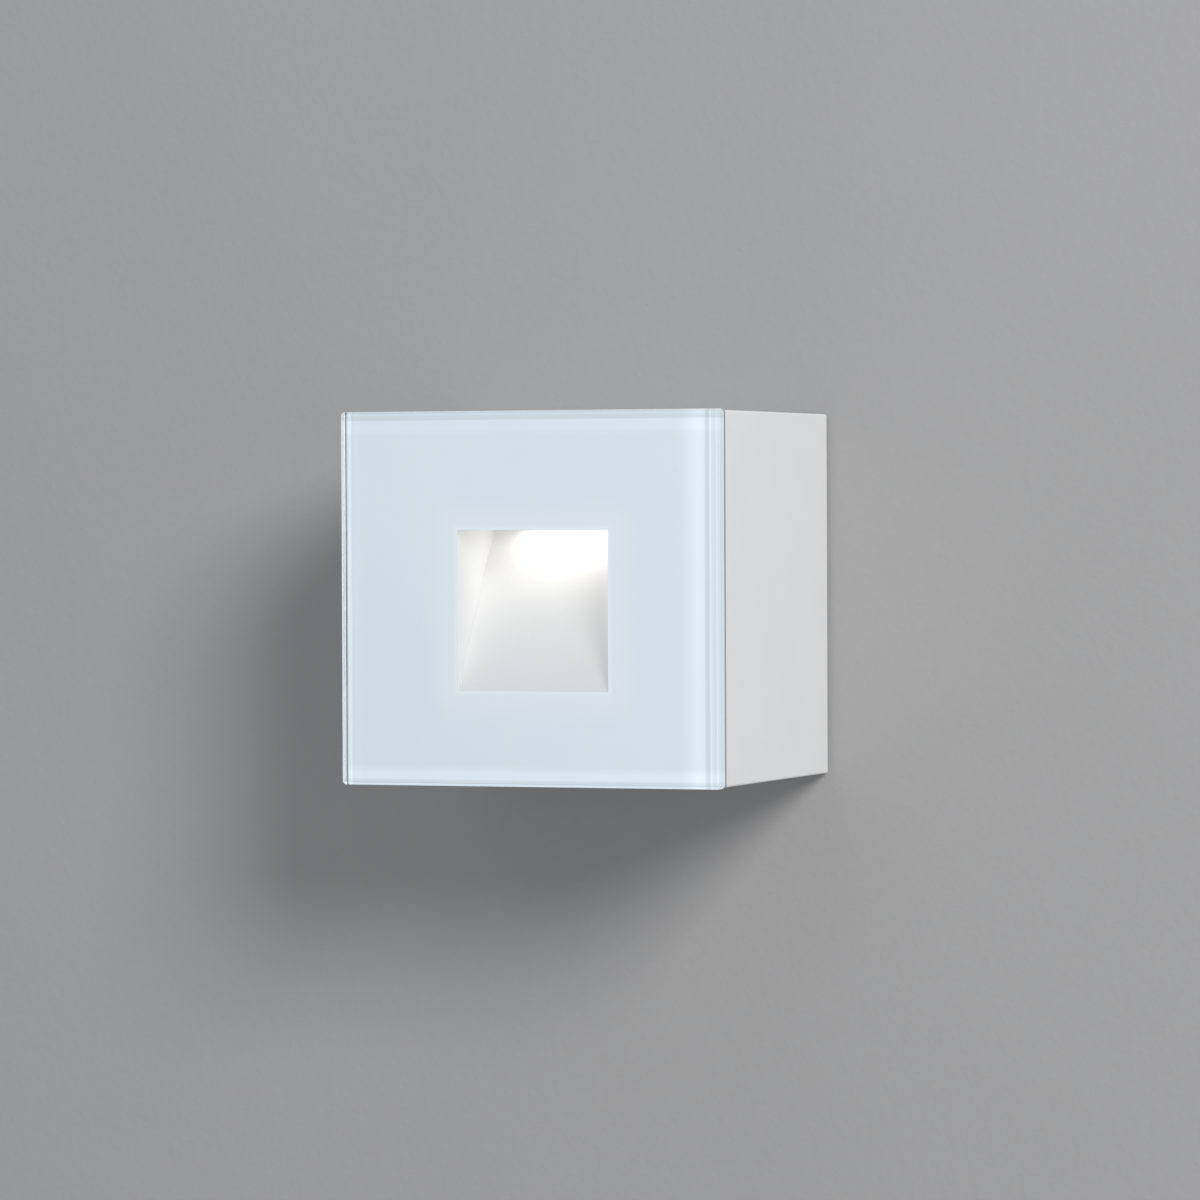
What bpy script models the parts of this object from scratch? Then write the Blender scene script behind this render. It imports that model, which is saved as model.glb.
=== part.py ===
"""Cubic outdoor wall light with a printed glass front and a lit recess.

Frame: the wall is the plane Y = 0, the light stands out of it towards -Y, Z is up and X is to
the right. The origin is on the back of the wall bracket, level with the middle of the glass.
Every size and place below is in millimetres; MM turns it into Blender's metres.
"""

import math

import bmesh
import bpy
from mathutils import Matrix, Vector

MM = 0.001
GAP = 0.3  # clearance left between pieces that touch on the real light

# Front glass
GLASS_WIDTH = 100.0
GLASS_HEIGHT = 93.0
GLASS_THICK = 5.0
DEPTH = 86.0  # wall to the front of the glass
GLASS_ARRIS = 0.6
GLASS_BACK = -DEPTH + GLASS_THICK

# Print on the back of the glass
MASK_THICK = 0.2
MASK_INSET = 0.7
MASK_FRONT = GLASS_BACK + GAP
MASK_BACK = MASK_FRONT + MASK_THICK
WINDOW = 40.0
WINDOW_DROP = 3.0  # window centre below glass centre

# Housing
GLASS_OVERHANG = 0.25
HALF_X = GLASS_WIDTH / 2 - GLASS_OVERHANG
HALF_Z = GLASS_HEIGHT / 2 - GLASS_OVERHANG
WALL = 3.5
INNER_X = HALF_X - WALL
INNER_Z = HALF_Z - WALL
HOUSING_FRONT = MASK_BACK + GAP
HOUSING_REAR = -GAP
BULKHEAD_FRONT = -25.0
BULKHEAD_REAR = -21.5
LONG_EDGE = 0.5
REAR_EDGE = 1.0
RABBET_LIP = 1.2
RABBET_DEPTH = 1.5
GROOVE_LIP = 0.85
GROOVE_WIDTH = 1.7
GROOVE_DEPTH = 1.5

# Posts that carry the reflector
POST_X = 42.5
POST_Z = 39.0
POST_RADIUS = 4.0
POST_END = -76.0
POST_HOLE_END = -68.0
POST_SCREW_LENGTH = 8.0

# Screws
M3 = {"head": 2.5, "rise": 1.3, "shank": 1.25, "recess": 0.8}
M4 = {"head": 3.6, "rise": 2.2, "shank": 1.7, "recess": 1.2}
M3_TAPPED = M3["shank"] + GAP
M3_CLEAR = M3["shank"] + 2 * GAP
M4_TAPPED = M4["shank"] + GAP
BLIND_FRONT = -22.4  # bottom of the holes drilled into the bulkhead from the front
BLIND_REAR = -23.9  # and from the rear

# Reflector
SHEET = 1.2
RECESS_X = WINDOW / 2 + 0.3
RECESS_TOP = WINDOW / 2 - WINDOW_DROP + 0.3
RECESS_BOTTOM = -WINDOW / 2 - WINDOW_DROP - 0.3
REFLECTOR_FRONT = MASK_BACK + GAP
SILL_Y = REFLECTOR_FRONT + 0.3
SILL_Z = RECESS_BOTTOM + 0.8
FLANGE_GAP = GAP + 0.05
SLOPE_RUN = 25.0  # how much deeper the slope is at the ceiling than at the sill
FLANGE_FRONT = -77.5
FLANGE_BACK = FLANGE_FRONT + SHEET
SLOT_X = 12.5
SLOT_Y = (-66.5, -56.0)

# Light source
LED_Y = -61.5
LED_PITCH = 7.0
LED_SIZE = 3.5
LED_CORNER = 0.4
LED_RISE = 0.7
DIFFUSER = (14.0, 7.5, 1.5)  # half width, half depth, thickness
DIFFUSER_CORNER = 1.0
BOARD_X = 16.0
BOARD_Y = (-70.0, -48.0)
BOARD_Z = (22.3, 23.9)
BOARD_SCREW_X = 13.0
BOARD_SCREW_LENGTH = 7.0
CONNECTOR_X = 3.5
CONNECTOR_Y = (-53.0, -48.5)
CONNECTOR_BOTTOM = 19.2
PAD_Z = (24.2, 24.7)
ANGLE_Z = 25.0  # underside of the aluminium angle
ANGLE_THICK = 3.0
ANGLE_TOP = 40.0
ANGLE_FRONT = -75.0
ANGLE_SCREW = (10.0, 34.5)
ANGLE_SCREW_LENGTH = 5.5

# Driver
DRIVER_X = 28.0
DRIVER_Z = (-38.0, -8.0)
DRIVER_FRONT = -45.2
DRIVER_BACK = BULKHEAD_FRONT - GAP
DRIVER_WALL = 1.5
DRIVER_LID = 1.5
LID_CORNER = 1.0
EAR_X = 35.0
EAR_HALF = 5.0
EAR_THICK = 2.0
EAR_SCREW = (31.5, -23.0)
EAR_SCREW_LENGTH = 4.5
RIB_X = (19.0, 21.0)
RIB_RISE = 2.9
RIB_INSET = 4.0
CIRCUIT_X = 25.5
CIRCUIT_THICK = 1.6
CIRCUIT_RISE = 3.2  # floor of the case to the back of the circuit board
CIRCUIT_INSET = 2.5
TRANSFORMER_LOW = (-22.0, -44.0, -30.0)
TRANSFORMER_HIGH = (-8.0, -16.0)
TRANSFORMER_EDGE = 0.8
CAPACITOR = (12.0, -25.0)
CAPACITOR_RADII = (4.0, 3.5)
CAPACITOR_Y = (-43.0, -43.5)
LED_LEAD_HOLE = (3.0, -36.0, 1.2)  # side, y and radius, in the top of the case
MAINS_HOLE_Y = (-34.0, -38.0)  # live and neutral, in the right side of the case
MAINS_HOLE_Z = -14.0
MAINS_HOLE_RADIUS = 1.5

# Terminal block, in the rear chamber
POLE_PITCH = 12.0
POLE_WIDTH = 6.4
BLOCK_Z = (5.0, 22.0)
BLOCK_END = 1.0
BLOCK_BACK = -15.0
TOWER_BACK = -8.2
WIRE_Y = -17.0
WIRE_HOLE = (1.5, 6.5)  # radius, depth
SCREW_OFFSET = 4.0
SCREW_WELL = (2.0, -14.5)  # radius, bottom
POLE_SCREW = (1.6, 1.35, 4.2, 4.5)  # radius, radius at the end, length to the taper, length
POLE_SCREW_FOOT = -14.1
POLE_SCREW_SLIT = (1.2, 0.3, 0.8)
FIXING_LENGTH = 8.5

# Earth connection
EARTH = (-29.0, 12.0)
EARTH_BOSS = -18.5
EARTH_BOSS_RADIUS = 4.5
RING_RADIUS = 4.2
RING_THICK = 0.8
RING_HOLE = 2.1
RING_NECK = 1.6
RING_REACH = 11.5
WASHER_RADIUS = 4.4
WASHER_THICK = 0.8
EARTH_SCREW_LENGTH = 7.0

# Grommet in the bulkhead
GROMMET = (36.5, -6.0)
GROMMET_RADIUS = 5.0
GROMMET_LIP = 6.3
GROMMET_INSIDE = 2.6
GROMMET_RISE = 1.4

# Leads
MAINS_LEAD_RADIUS = 0.9
LED_LEAD_RADIUS = 0.6
MAINS_LEAD_SHIFT = 1.15  # each mains lead's distance from the middle of the grommet

# Wall bracket
PLATE = 1.5
PLATE_X = 35.0
PLATE_Z = 34.5
PLATE_CORNER = 3.0
ARM_HALF = 10.0
ARM_OUTER = 38.5  # height of the arms' outer faces
ARM_REACH = 15.5
BEND_INSIDE = 1.0
BEND_STEPS = 4
CABLE_HOLE = (0.0, -20.0)
CABLE_HOLE_RADIUS = 10.0
BRACKET_LIP = 1.5
BRACKET_LIP_RISE = 1.2
BRACKET_GROMMET_INSIDE = 8.0
SLOT_CENTRE_X = 25.0
WALL_SLOT = (5.0, 14.0)

# Clamp screws, one in the top wall and one in the bottom wall
CLAMP_Y = -9.0
CLAMP_RADIUS = 1.95
CLAMP_LENGTH = 6.0
CLAMP_BOSS_RADIUS = 4.5
CLAMP_BOSS_END = 39.9
HEX_SOCKET = 1.0  # half of its width across flats
HEX_DEPTH = 2.2

FINISHES = {
    "powder_white": ((0.80, 0.81, 0.80), 0.50, 0.0),
    "clear_glass": ((0.93, 0.97, 1.00), 0.02, 0.0),
    "white_enamel": ((0.66, 0.75, 0.83), 0.35, 0.0),
    "reflector_white": ((0.86, 0.86, 0.85), 0.45, 0.0),
    "black_rubber": ((0.03, 0.03, 0.03), 0.80, 0.0),
    "zinc_steel": ((0.62, 0.63, 0.64), 0.38, 1.0),
    "stainless": ((0.66, 0.65, 0.63), 0.28, 1.0),
    "opal_diffuser": ((0.95, 0.94, 0.90), 0.40, 0.0),
    "board_white": ((0.85, 0.86, 0.85), 0.45, 0.0),
    "phosphor": ((0.95, 0.80, 0.35), 0.40, 0.0),
    "thermal_grey": ((0.32, 0.36, 0.42), 0.70, 0.0),
    "bare_aluminium": ((0.76, 0.77, 0.78), 0.40, 1.0),
    "driver_plastic": ((0.82, 0.82, 0.80), 0.55, 0.0),
    "board_green": ((0.03, 0.20, 0.08), 0.45, 0.0),
    "ferrite": ((0.08, 0.07, 0.07), 0.60, 0.0),
    "capacitor_sleeve": ((0.04, 0.05, 0.12), 0.40, 0.0),
    "terminal_plastic": ((0.88, 0.87, 0.82), 0.50, 0.0),
    "brass": ((0.72, 0.55, 0.25), 0.35, 1.0),
    "tinned_copper": ((0.70, 0.69, 0.66), 0.35, 1.0),
    "brown_lead": ((0.16, 0.07, 0.03), 0.50, 0.0),
    "blue_lead": ((0.03, 0.14, 0.45), 0.50, 0.0),
    "earth_lead": ((0.35, 0.50, 0.05), 0.50, 0.0),
    "red_lead": ((0.50, 0.03, 0.02), 0.50, 0.0),
    "black_lead": ((0.02, 0.02, 0.02), 0.50, 0.0),
}

FRONT_FACING = (math.radians(90), 0, 0)  # turns local +Z to -Y
REAR_FACING = (math.radians(-90), 0, 0)  # turns local +Z to +Y
DOWN_FACING = (math.radians(180), 0, 0)


# Making meshes and objects


def clear_scene():
    for item in list(bpy.data.objects):
        bpy.data.objects.remove(item, do_unlink=True)


def make_finishes():
    for name, (colour, roughness, metallic) in FINISHES.items():
        finish = bpy.data.materials.new(name)
        finish.use_nodes = True
        shader = finish.node_tree.nodes["Principled BSDF"]
        shader.inputs["Base Color"].default_value = (*colour, 1.0)
        shader.inputs["Roughness"].default_value = roughness
        shader.inputs["Metallic"].default_value = metallic
    glass = bpy.data.materials["clear_glass"].node_tree.nodes["Principled BSDF"]
    glass.inputs["Transmission Weight"].default_value = 1.0


def make_group(name):
    empty = bpy.data.objects.new(name, None)
    bpy.context.scene.collection.objects.link(empty)
    return empty


def link_object(name, data, at=(0, 0, 0), turn=(0, 0, 0), group=None):
    piece = bpy.data.objects.new(name, data)
    piece.location = Vector(at) * MM
    piece.rotation_euler = turn
    piece.parent = group
    bpy.context.scene.collection.objects.link(piece)
    return piece


def mesh_from(bm, name, finish=None):
    bmesh.ops.recalc_face_normals(bm, faces=bm.faces)
    bmesh.ops.scale(bm, vec=(MM, MM, MM), verts=bm.verts)
    mesh = bpy.data.meshes.new(name)
    bm.to_mesh(mesh)
    bm.free()
    mesh.shade_smooth()
    mesh.set_sharp_from_angle(angle=math.radians(35))
    if finish:
        mesh.materials.append(bpy.data.materials[finish])
    return mesh


def add_piece(name, bm, finish, group, at=(0, 0, 0), turn=(0, 0, 0)):
    return link_object(name, mesh_from(bm, name, finish), at, turn, group)


def add_boolean(piece, bm, operation, purpose):
    """Cuts the shape in bm out of the piece, or joins it on."""
    name = piece.name + "_" + purpose
    helper = link_object(name, mesh_from(bm, name))
    helper.hide_render = True
    helper.display_type = "WIRE"
    modifier = piece.modifiers.new(purpose, "BOOLEAN")
    modifier.operation = operation
    modifier.solver = "EXACT"
    modifier.object = helper


def cut(piece, bm, purpose):
    add_boolean(piece, bm, "DIFFERENCE", purpose)


def join(piece, bm, purpose):
    add_boolean(piece, bm, "UNION", purpose)


# Shapes, added to a bmesh


def along(axis, run, u, v):
    """The point at run along the axis and (u, v) across it."""
    return {"X": Vector((run, u, v)), "Y": Vector((u, run, v)), "Z": Vector((u, v, run))}[axis]


def add_loft(bm, rings, closed=False):
    """Joins rings of equally many points; closed makes an endless ring, else both ends are capped."""
    rows = [[bm.verts.new(point) for point in ring] for ring in rings]
    pairs = list(zip(rows, rows[1:]))
    if closed:
        pairs.append((rows[-1], rows[0]))
    else:
        bm.faces.new(rows[0])
        bm.faces.new(rows[-1])
    for lower, upper in pairs:
        for index, corner in enumerate(lower):
            following = (index + 1) % len(lower)
            bm.faces.new((corner, lower[following], upper[following], upper[index]))
    return bm


def add_prism(bm, outline, axis, start, end):
    return add_loft(bm, [[along(axis, run, u, v) for u, v in outline] for run in (start, end)])


def add_block(bm, low, high):
    corners = [(low[1], low[2]), (high[1], low[2]), (high[1], high[2]), (low[1], high[2])]
    return add_prism(bm, corners, "X", low[0], high[0])


def circle(radius, centre=(0, 0), sides=16, start=0.0):
    turns = [start + 2 * math.pi * step / sides for step in range(sides)]
    return [(centre[0] + radius * math.cos(a), centre[1] + radius * math.sin(a)) for a in turns]


def add_cylinder(bm, axis, centre, start, end, radius, sides=16):
    return add_prism(bm, circle(radius, centre, sides), axis, start, end)


def rounded_rectangle(half_u, half_v, radius, steps=4):
    """Outline about (0, 0), its corners as arcs."""
    corners = []
    for quarter, (sign_u, sign_v) in enumerate(((1, 1), (-1, 1), (-1, -1), (1, -1))):
        centre = (sign_u * (half_u - radius), sign_v * (half_v - radius))
        for step in range(steps + 1):
            angle = math.pi / 2 * (quarter + step / steps)
            corners.append(
                (centre[0] + radius * math.cos(angle), centre[1] + radius * math.sin(angle))
            )
    return corners


def slot_outline(centre, width, length, steps=6):
    """Upright slot with round ends."""
    radius = width / 2
    straight = length / 2 - radius
    outline = []
    for end, first in ((1, 0.0), (-1, math.pi)):
        for step in range(steps + 1):
            angle = first + math.pi * step / steps
            outline.append(
                (
                    centre[0] + radius * math.cos(angle),
                    centre[1] + end * straight + radius * math.sin(angle),
                )
            )
    return outline


def rectangle(low_x, low_z, high_x, high_z):
    return [(low_x, low_z), (high_x, low_z), (high_x, high_z), (low_x, high_z)]


def centred(half_x, half_z):
    return rectangle(-half_x, -half_z, half_x, half_z)


def add_frame(bm, outer, inner, front, back):
    """A flat frame between two outlines of equally many points, facing the front."""
    section = ((outer, front), (outer, back), (inner, back), (inner, front))
    rings = [[along("Y", run, x, z) for x, z in outline] for outline, run in section]
    return add_loft(bm, rings, closed=True)


def add_revolved_ring(bm, section, centre, sides=20):
    """Turns a closed section of (radius, y) points about a Y axis through centre."""
    rings = [[along("Y", y, x, z) for x, z in circle(r, centre, sides)] for r, y in section]
    return add_loft(bm, rings, closed=True)


# Screws: local +Z points out of the head, and z = 0 is under it


def cross_outline(reach, half_width):
    arm = [(reach, -half_width), (reach, half_width), (half_width, half_width)]
    turned = []
    for quarter in range(4):
        angle = quarter * math.pi / 2
        for x, y in arm:
            turned.append(
                (x * math.cos(angle) - y * math.sin(angle), x * math.sin(angle) + y * math.cos(angle))
            )
    return turned


def hexagon_outline(half_flat):
    """Twelve points: the corners of a hexagon and the middles of its sides."""
    outline = []
    for step in range(12):
        radius = half_flat if step % 2 else half_flat / math.cos(math.pi / 6)
        angle = step * math.pi / 6
        outline.append((radius * math.cos(angle), radius * math.sin(angle)))
    return outline


def slit_outline(reach, half_width):
    """Twelve points round a straight screwdriver slot."""
    side = [(reach * (1 - step / 2.5), half_width) for step in range(6)]
    return side + [(-x, -y) for x, y in side]


def add_screw(bm, profile, recess, depth):
    """A turned screw with a recess of twelve points sunk into its last ring."""
    start = -math.pi / 12
    rings = [[along("Z", z, x, y) for x, y in circle(r, (0, 0), 12, start)] for r, z in profile]
    top = profile[-1][1]
    rings += [[along("Z", z, x, y) for x, y in recess] for z in (top, top - depth)]
    return add_loft(bm, rings)


def pan_screw(size, length):
    """Pan head with a cross recess; length is that of the shank."""
    head, rise, shank = size["head"], size["rise"], size["shank"]
    profile = [
        (shank - 0.3, -length),
        (shank, -length + 0.4),
        (shank, 0),
        (head, 0),
        (head, rise * 0.55),
        (head * 0.72, rise),
    ]
    return add_screw(bmesh.new(), profile, cross_outline(shank, 0.3), size["recess"])


# Pieces fixed to the wall


def wall_bracket(group):
    """Sheet plate, with a tongue at its top and bottom bent forward into an arm."""
    quarter = len(rounded_rectangle(1, 1, 0)) // 4
    corners = rounded_rectangle(PLATE_X, PLATE_Z, PLATE_CORNER)
    bend_line = ARM_OUTER - PLATE - BEND_INSIDE
    top = [(ARM_HALF, PLATE_Z), (ARM_HALF, bend_line), (-ARM_HALF, bend_line), (-ARM_HALF, PLATE_Z)]
    bottom = [(-x, -z) for x, z in top]
    outline = corners[:quarter] + top + corners[quarter : 3 * quarter] + bottom
    outline += corners[3 * quarter :]
    bm = add_prism(bmesh.new(), outline, "Y", -PLATE, 0)
    for side in (1, -1):
        tip = Vector((0, -PLATE / 2, side * bend_line))
        end = min(bm.faces, key=lambda face: (face.calc_center_bounds() - tip).length)
        pivot = Vector((0, -PLATE - BEND_INSIDE, side * bend_line))
        turn = Matrix.Rotation(side * math.pi / 2 / BEND_STEPS, 4, "X")
        step = Matrix.Translation(pivot) @ turn @ Matrix.Translation(-pivot)
        for _ in range(BEND_STEPS):
            end = push_face(bm, end, step)
        push_face(bm, end, Matrix.Translation((0, -ARM_REACH - pivot.y, 0)))
    bracket = add_piece("wall_bracket", bm, "zinc_steel", group)
    holes = add_cylinder(bmesh.new(), "Y", CABLE_HOLE, -2 * PLATE, PLATE, CABLE_HOLE_RADIUS, 32)
    for side in (1, -1):
        add_prism(holes, slot_outline((side * SLOT_CENTRE_X, 0), *WALL_SLOT), "Y", -2 * PLATE, PLATE)
    cut(bracket, holes, "holes")


def push_face(bm, face, matrix):
    """Extrudes one face, moves it by the matrix and returns it."""
    grown = bmesh.ops.extrude_face_region(bm, geom=[face])["geom"]
    corners = [item for item in grown if isinstance(item, bmesh.types.BMVert)]
    bmesh.ops.transform(bm, matrix=matrix, verts=corners)
    if face.is_valid:
        bm.faces.remove(face)
    return next(item for item in grown if isinstance(item, bmesh.types.BMFace))


def bracket_grommet(group):
    """Rubber ring that covers the edge of the bracket's cable hole."""
    inside = BRACKET_GROMMET_INSIDE
    groove = CABLE_HOLE_RADIUS - GAP
    lip = CABLE_HOLE_RADIUS + BRACKET_LIP
    lip_back = -PLATE - GAP
    lip_front = lip_back - BRACKET_LIP_RISE
    section = [
        (inside, 0),
        (groove, 0),
        (groove, lip_back),
        (lip, lip_back),
        (lip, lip_front),
        (inside, lip_front),
    ]
    bm = add_revolved_ring(bmesh.new(), section, CABLE_HOLE, 24)
    add_piece("bracket_grommet", bm, "black_rubber", group)


# Housing


def housing(group):
    low, high = (-HALF_X, HOUSING_FRONT, -HALF_Z), (HALF_X, HOUSING_REAR, HALF_Z)
    bm = add_block(bmesh.new(), low, high)
    rear = [edge for edge in bm.edges if all(abs(v.co.y - HOUSING_REAR) < 0.01 for v in edge.verts)]
    bmesh.ops.bevel(bm, geom=rear, offset=REAR_EDGE, segments=2, profile=0.5, affect="EDGES")
    long_edges = [
        edge
        for edge in bm.edges
        if abs(edge.verts[0].co.y - edge.verts[1].co.y) > DEPTH / 2
    ]
    bmesh.ops.bevel(bm, geom=long_edges, offset=LONG_EDGE, segments=1, affect="EDGES")
    piece = add_piece("housing", bm, "powder_white", group)
    cut(piece, housing_hollows(), "hollows")
    groove_outer = centred(HALF_X - GROOVE_LIP, HALF_Z - GROOVE_LIP)
    groove_inner = centred(HALF_X - GROOVE_LIP - GROOVE_WIDTH, HALF_Z - GROOVE_LIP - GROOVE_WIDTH)
    groove = add_frame(
        bmesh.new(), groove_outer, groove_inner, HOUSING_REAR - GROOVE_DEPTH, HOUSING_REAR + 1
    )
    cut(piece, groove, "gasket_groove")
    join(piece, housing_bosses(), "bosses")
    cut(piece, housing_holes(), "holes")


def housing_hollows():
    """Front chamber with the seal's rabbet, and the rear wiring chamber."""
    rabbet_x, rabbet_z = HALF_X - RABBET_LIP, HALF_Z - RABBET_LIP
    rabbet_floor = HOUSING_FRONT + RABBET_DEPTH
    front = [
        (centred(rabbet_x, rabbet_z), HOUSING_FRONT - 1),
        (centred(rabbet_x, rabbet_z), rabbet_floor),
        (centred(INNER_X, INNER_Z), rabbet_floor),
        (centred(INNER_X, INNER_Z), BULKHEAD_FRONT),
    ]
    bm = add_loft(bmesh.new(), [[along("Y", y, x, z) for x, z in ring] for ring, y in front])
    add_block(bm, (-INNER_X, BULKHEAD_REAR, -INNER_Z), (INNER_X, HOUSING_REAR + 1, INNER_Z))
    return bm


def housing_bosses():
    inside_bulkhead = (BULKHEAD_FRONT + BULKHEAD_REAR) / 2
    inside_wall = HALF_Z - WALL / 2
    bm = bmesh.new()
    for x in (-POST_X, POST_X):
        for z in (-POST_Z, POST_Z):
            add_cylinder(bm, "Y", (x, z), POST_END, inside_bulkhead, POST_RADIUS)
    add_cylinder(bm, "Y", EARTH, inside_bulkhead, EARTH_BOSS, EARTH_BOSS_RADIUS)
    for side in (1, -1):
        run = sorted((side * CLAMP_BOSS_END, side * inside_wall))
        add_cylinder(bm, "Z", (0, CLAMP_Y), *run, CLAMP_BOSS_RADIUS)
    return bm


def housing_holes():
    bm = bmesh.new()
    for x in (-POST_X, POST_X):
        for z in (-POST_Z, POST_Z):
            add_cylinder(bm, "Y", (x, z), POST_END - 1, POST_HOLE_END, M3_TAPPED, 12)
    for x, z in (ANGLE_SCREW, EAR_SCREW):
        for side in (1, -1):
            add_cylinder(bm, "Y", (side * x, z), BULKHEAD_FRONT - 1, BLIND_FRONT, M3_TAPPED, 12)
    for side in (1, -1):
        spot = (side * POLE_PITCH / 2, sum(BLOCK_Z) / 2)
        add_cylinder(bm, "Y", spot, BLIND_REAR, BULKHEAD_REAR + 1, M3_TAPPED, 12)
        run = sorted((side * (CLAMP_BOSS_END - 1), side * (HALF_Z + 1)))
        add_cylinder(bm, "Z", (0, CLAMP_Y), *run, CLAMP_RADIUS + GAP)
    add_cylinder(bm, "Y", EARTH, BLIND_REAR, EARTH_BOSS + 1, M4_TAPPED, 12)
    add_cylinder(bm, "Y", GROMMET, BULKHEAD_FRONT - 1, BULKHEAD_REAR + 1, GROMMET_RADIUS, 20)
    return bm


def wall_gasket(group):
    outer = GROOVE_LIP + GAP
    inner = GROOVE_LIP + GROOVE_WIDTH - GAP
    floor = HOUSING_REAR - GROOVE_DEPTH + GAP
    bm = add_frame(
        bmesh.new(),
        centred(HALF_X - outer, HALF_Z - outer),
        centred(HALF_X - inner, HALF_Z - inner),
        floor,
        0,
    )
    add_piece("wall_gasket", bm, "black_rubber", group)


def clamp_screws(group):
    """Grub screws with a hexagon socket; the tip is the first end of the profile."""
    tip = ARM_OUTER + GAP
    profile = [
        (1.0, 0),
        (CLAMP_RADIUS, 0.9),
        (CLAMP_RADIUS, CLAMP_LENGTH - 0.3),
        (CLAMP_RADIUS - 0.3, CLAMP_LENGTH),
    ]
    for name, side, turn in (("clamp_screw_top", 1, (0, 0, 0)), ("clamp_screw_bottom", -1, DOWN_FACING)):
        bm = add_screw(bmesh.new(), profile, hexagon_outline(HEX_SOCKET), HEX_DEPTH)
        add_piece(name, bm, "stainless", group, (0, CLAMP_Y, side * tip), turn)


# Front


def front_glass(group):
    low = (-GLASS_WIDTH / 2, -DEPTH, -GLASS_HEIGHT / 2)
    high = (GLASS_WIDTH / 2, GLASS_BACK, GLASS_HEIGHT / 2)
    bm = add_block(bmesh.new(), low, high)
    bmesh.ops.bevel(bm, geom=bm.edges[:], offset=GLASS_ARRIS, segments=1, affect="EDGES")
    add_piece("front_glass", bm, "clear_glass", group)


def enamel_mask(group):
    outer = centred(GLASS_WIDTH / 2 - MASK_INSET, GLASS_HEIGHT / 2 - MASK_INSET)
    half = WINDOW / 2
    window = rectangle(-half, -half - WINDOW_DROP, half, half - WINDOW_DROP)
    bm = add_frame(bmesh.new(), outer, window, MASK_FRONT, MASK_BACK)
    add_piece("enamel_mask", bm, "white_enamel", group)


def glass_seal(group):
    outer = RABBET_LIP + GAP
    inner = WALL - GAP
    bm = add_frame(
        bmesh.new(),
        centred(HALF_X - outer, HALF_Z - outer),
        centred(HALF_X - inner, HALF_Z - inner),
        MASK_BACK + GAP,
        HOUSING_FRONT + RABBET_DEPTH - GAP,
    )
    add_piece("glass_seal", bm, "black_rubber", group)


def reflector(group):
    """Recess with a slope that is deepest under the ceiling, and a flange set back round it."""
    slope = SLOPE_RUN / (RECESS_TOP - SILL_Z)
    back = SHEET * math.hypot(1, slope)  # along Y, for a sheet of that thickness

    def slope_y(z):
        return SILL_Y + slope * (z - SILL_Z)

    low, high = RECESS_BOTTOM - SHEET, RECESS_TOP + SHEET
    shell = [
        (REFLECTOR_FRONT, low),
        (slope_y(low) + back, low),
        (slope_y(high) + back, high),
        (REFLECTOR_FRONT, high),
    ]
    hollow = [
        (REFLECTOR_FRONT - 1, RECESS_BOTTOM),
        (SILL_Y, RECESS_BOTTOM),
        (SILL_Y, SILL_Z),
        (slope_y(RECESS_TOP), RECESS_TOP),
        (REFLECTOR_FRONT - 1, RECESS_TOP),
    ]
    side = RECESS_X + SHEET
    piece = add_piece(
        "reflector", add_prism(bmesh.new(), shell, "X", -side, side), "reflector_white", group
    )
    edge_x, edge_z = INNER_X - FLANGE_GAP, INNER_Z - FLANGE_GAP
    plate = add_block(
        bmesh.new(), (-edge_x, FLANGE_FRONT, -edge_z), (edge_x, FLANGE_BACK, edge_z)
    )
    join(piece, plate, "flange")
    cut(piece, add_prism(bmesh.new(), hollow, "X", -RECESS_X, RECESS_X), "hollow")
    openings = add_block(
        bmesh.new(),
        (-SLOT_X, SLOT_Y[0], RECESS_TOP - 0.5),
        (SLOT_X, SLOT_Y[1], RECESS_TOP + SHEET + 0.5),
    )
    for x in (-POST_X, POST_X):
        for z in (-POST_Z, POST_Z):
            add_cylinder(openings, "Y", (x, z), FLANGE_FRONT - 1, FLANGE_BACK + 1, M3_CLEAR, 12)
    cut(piece, openings, "openings")


def reflector_screws(group):
    number = 1
    for x in (-POST_X, POST_X):
        for z in (-POST_Z, POST_Z):
            name = "reflector_screw_" + str(number)
            spot = (x, FLANGE_FRONT - GAP, z)
            add_piece(name, pan_screw(M3, POST_SCREW_LENGTH), "stainless", group, spot, FRONT_FACING)
            number += 1


# Light source


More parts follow.
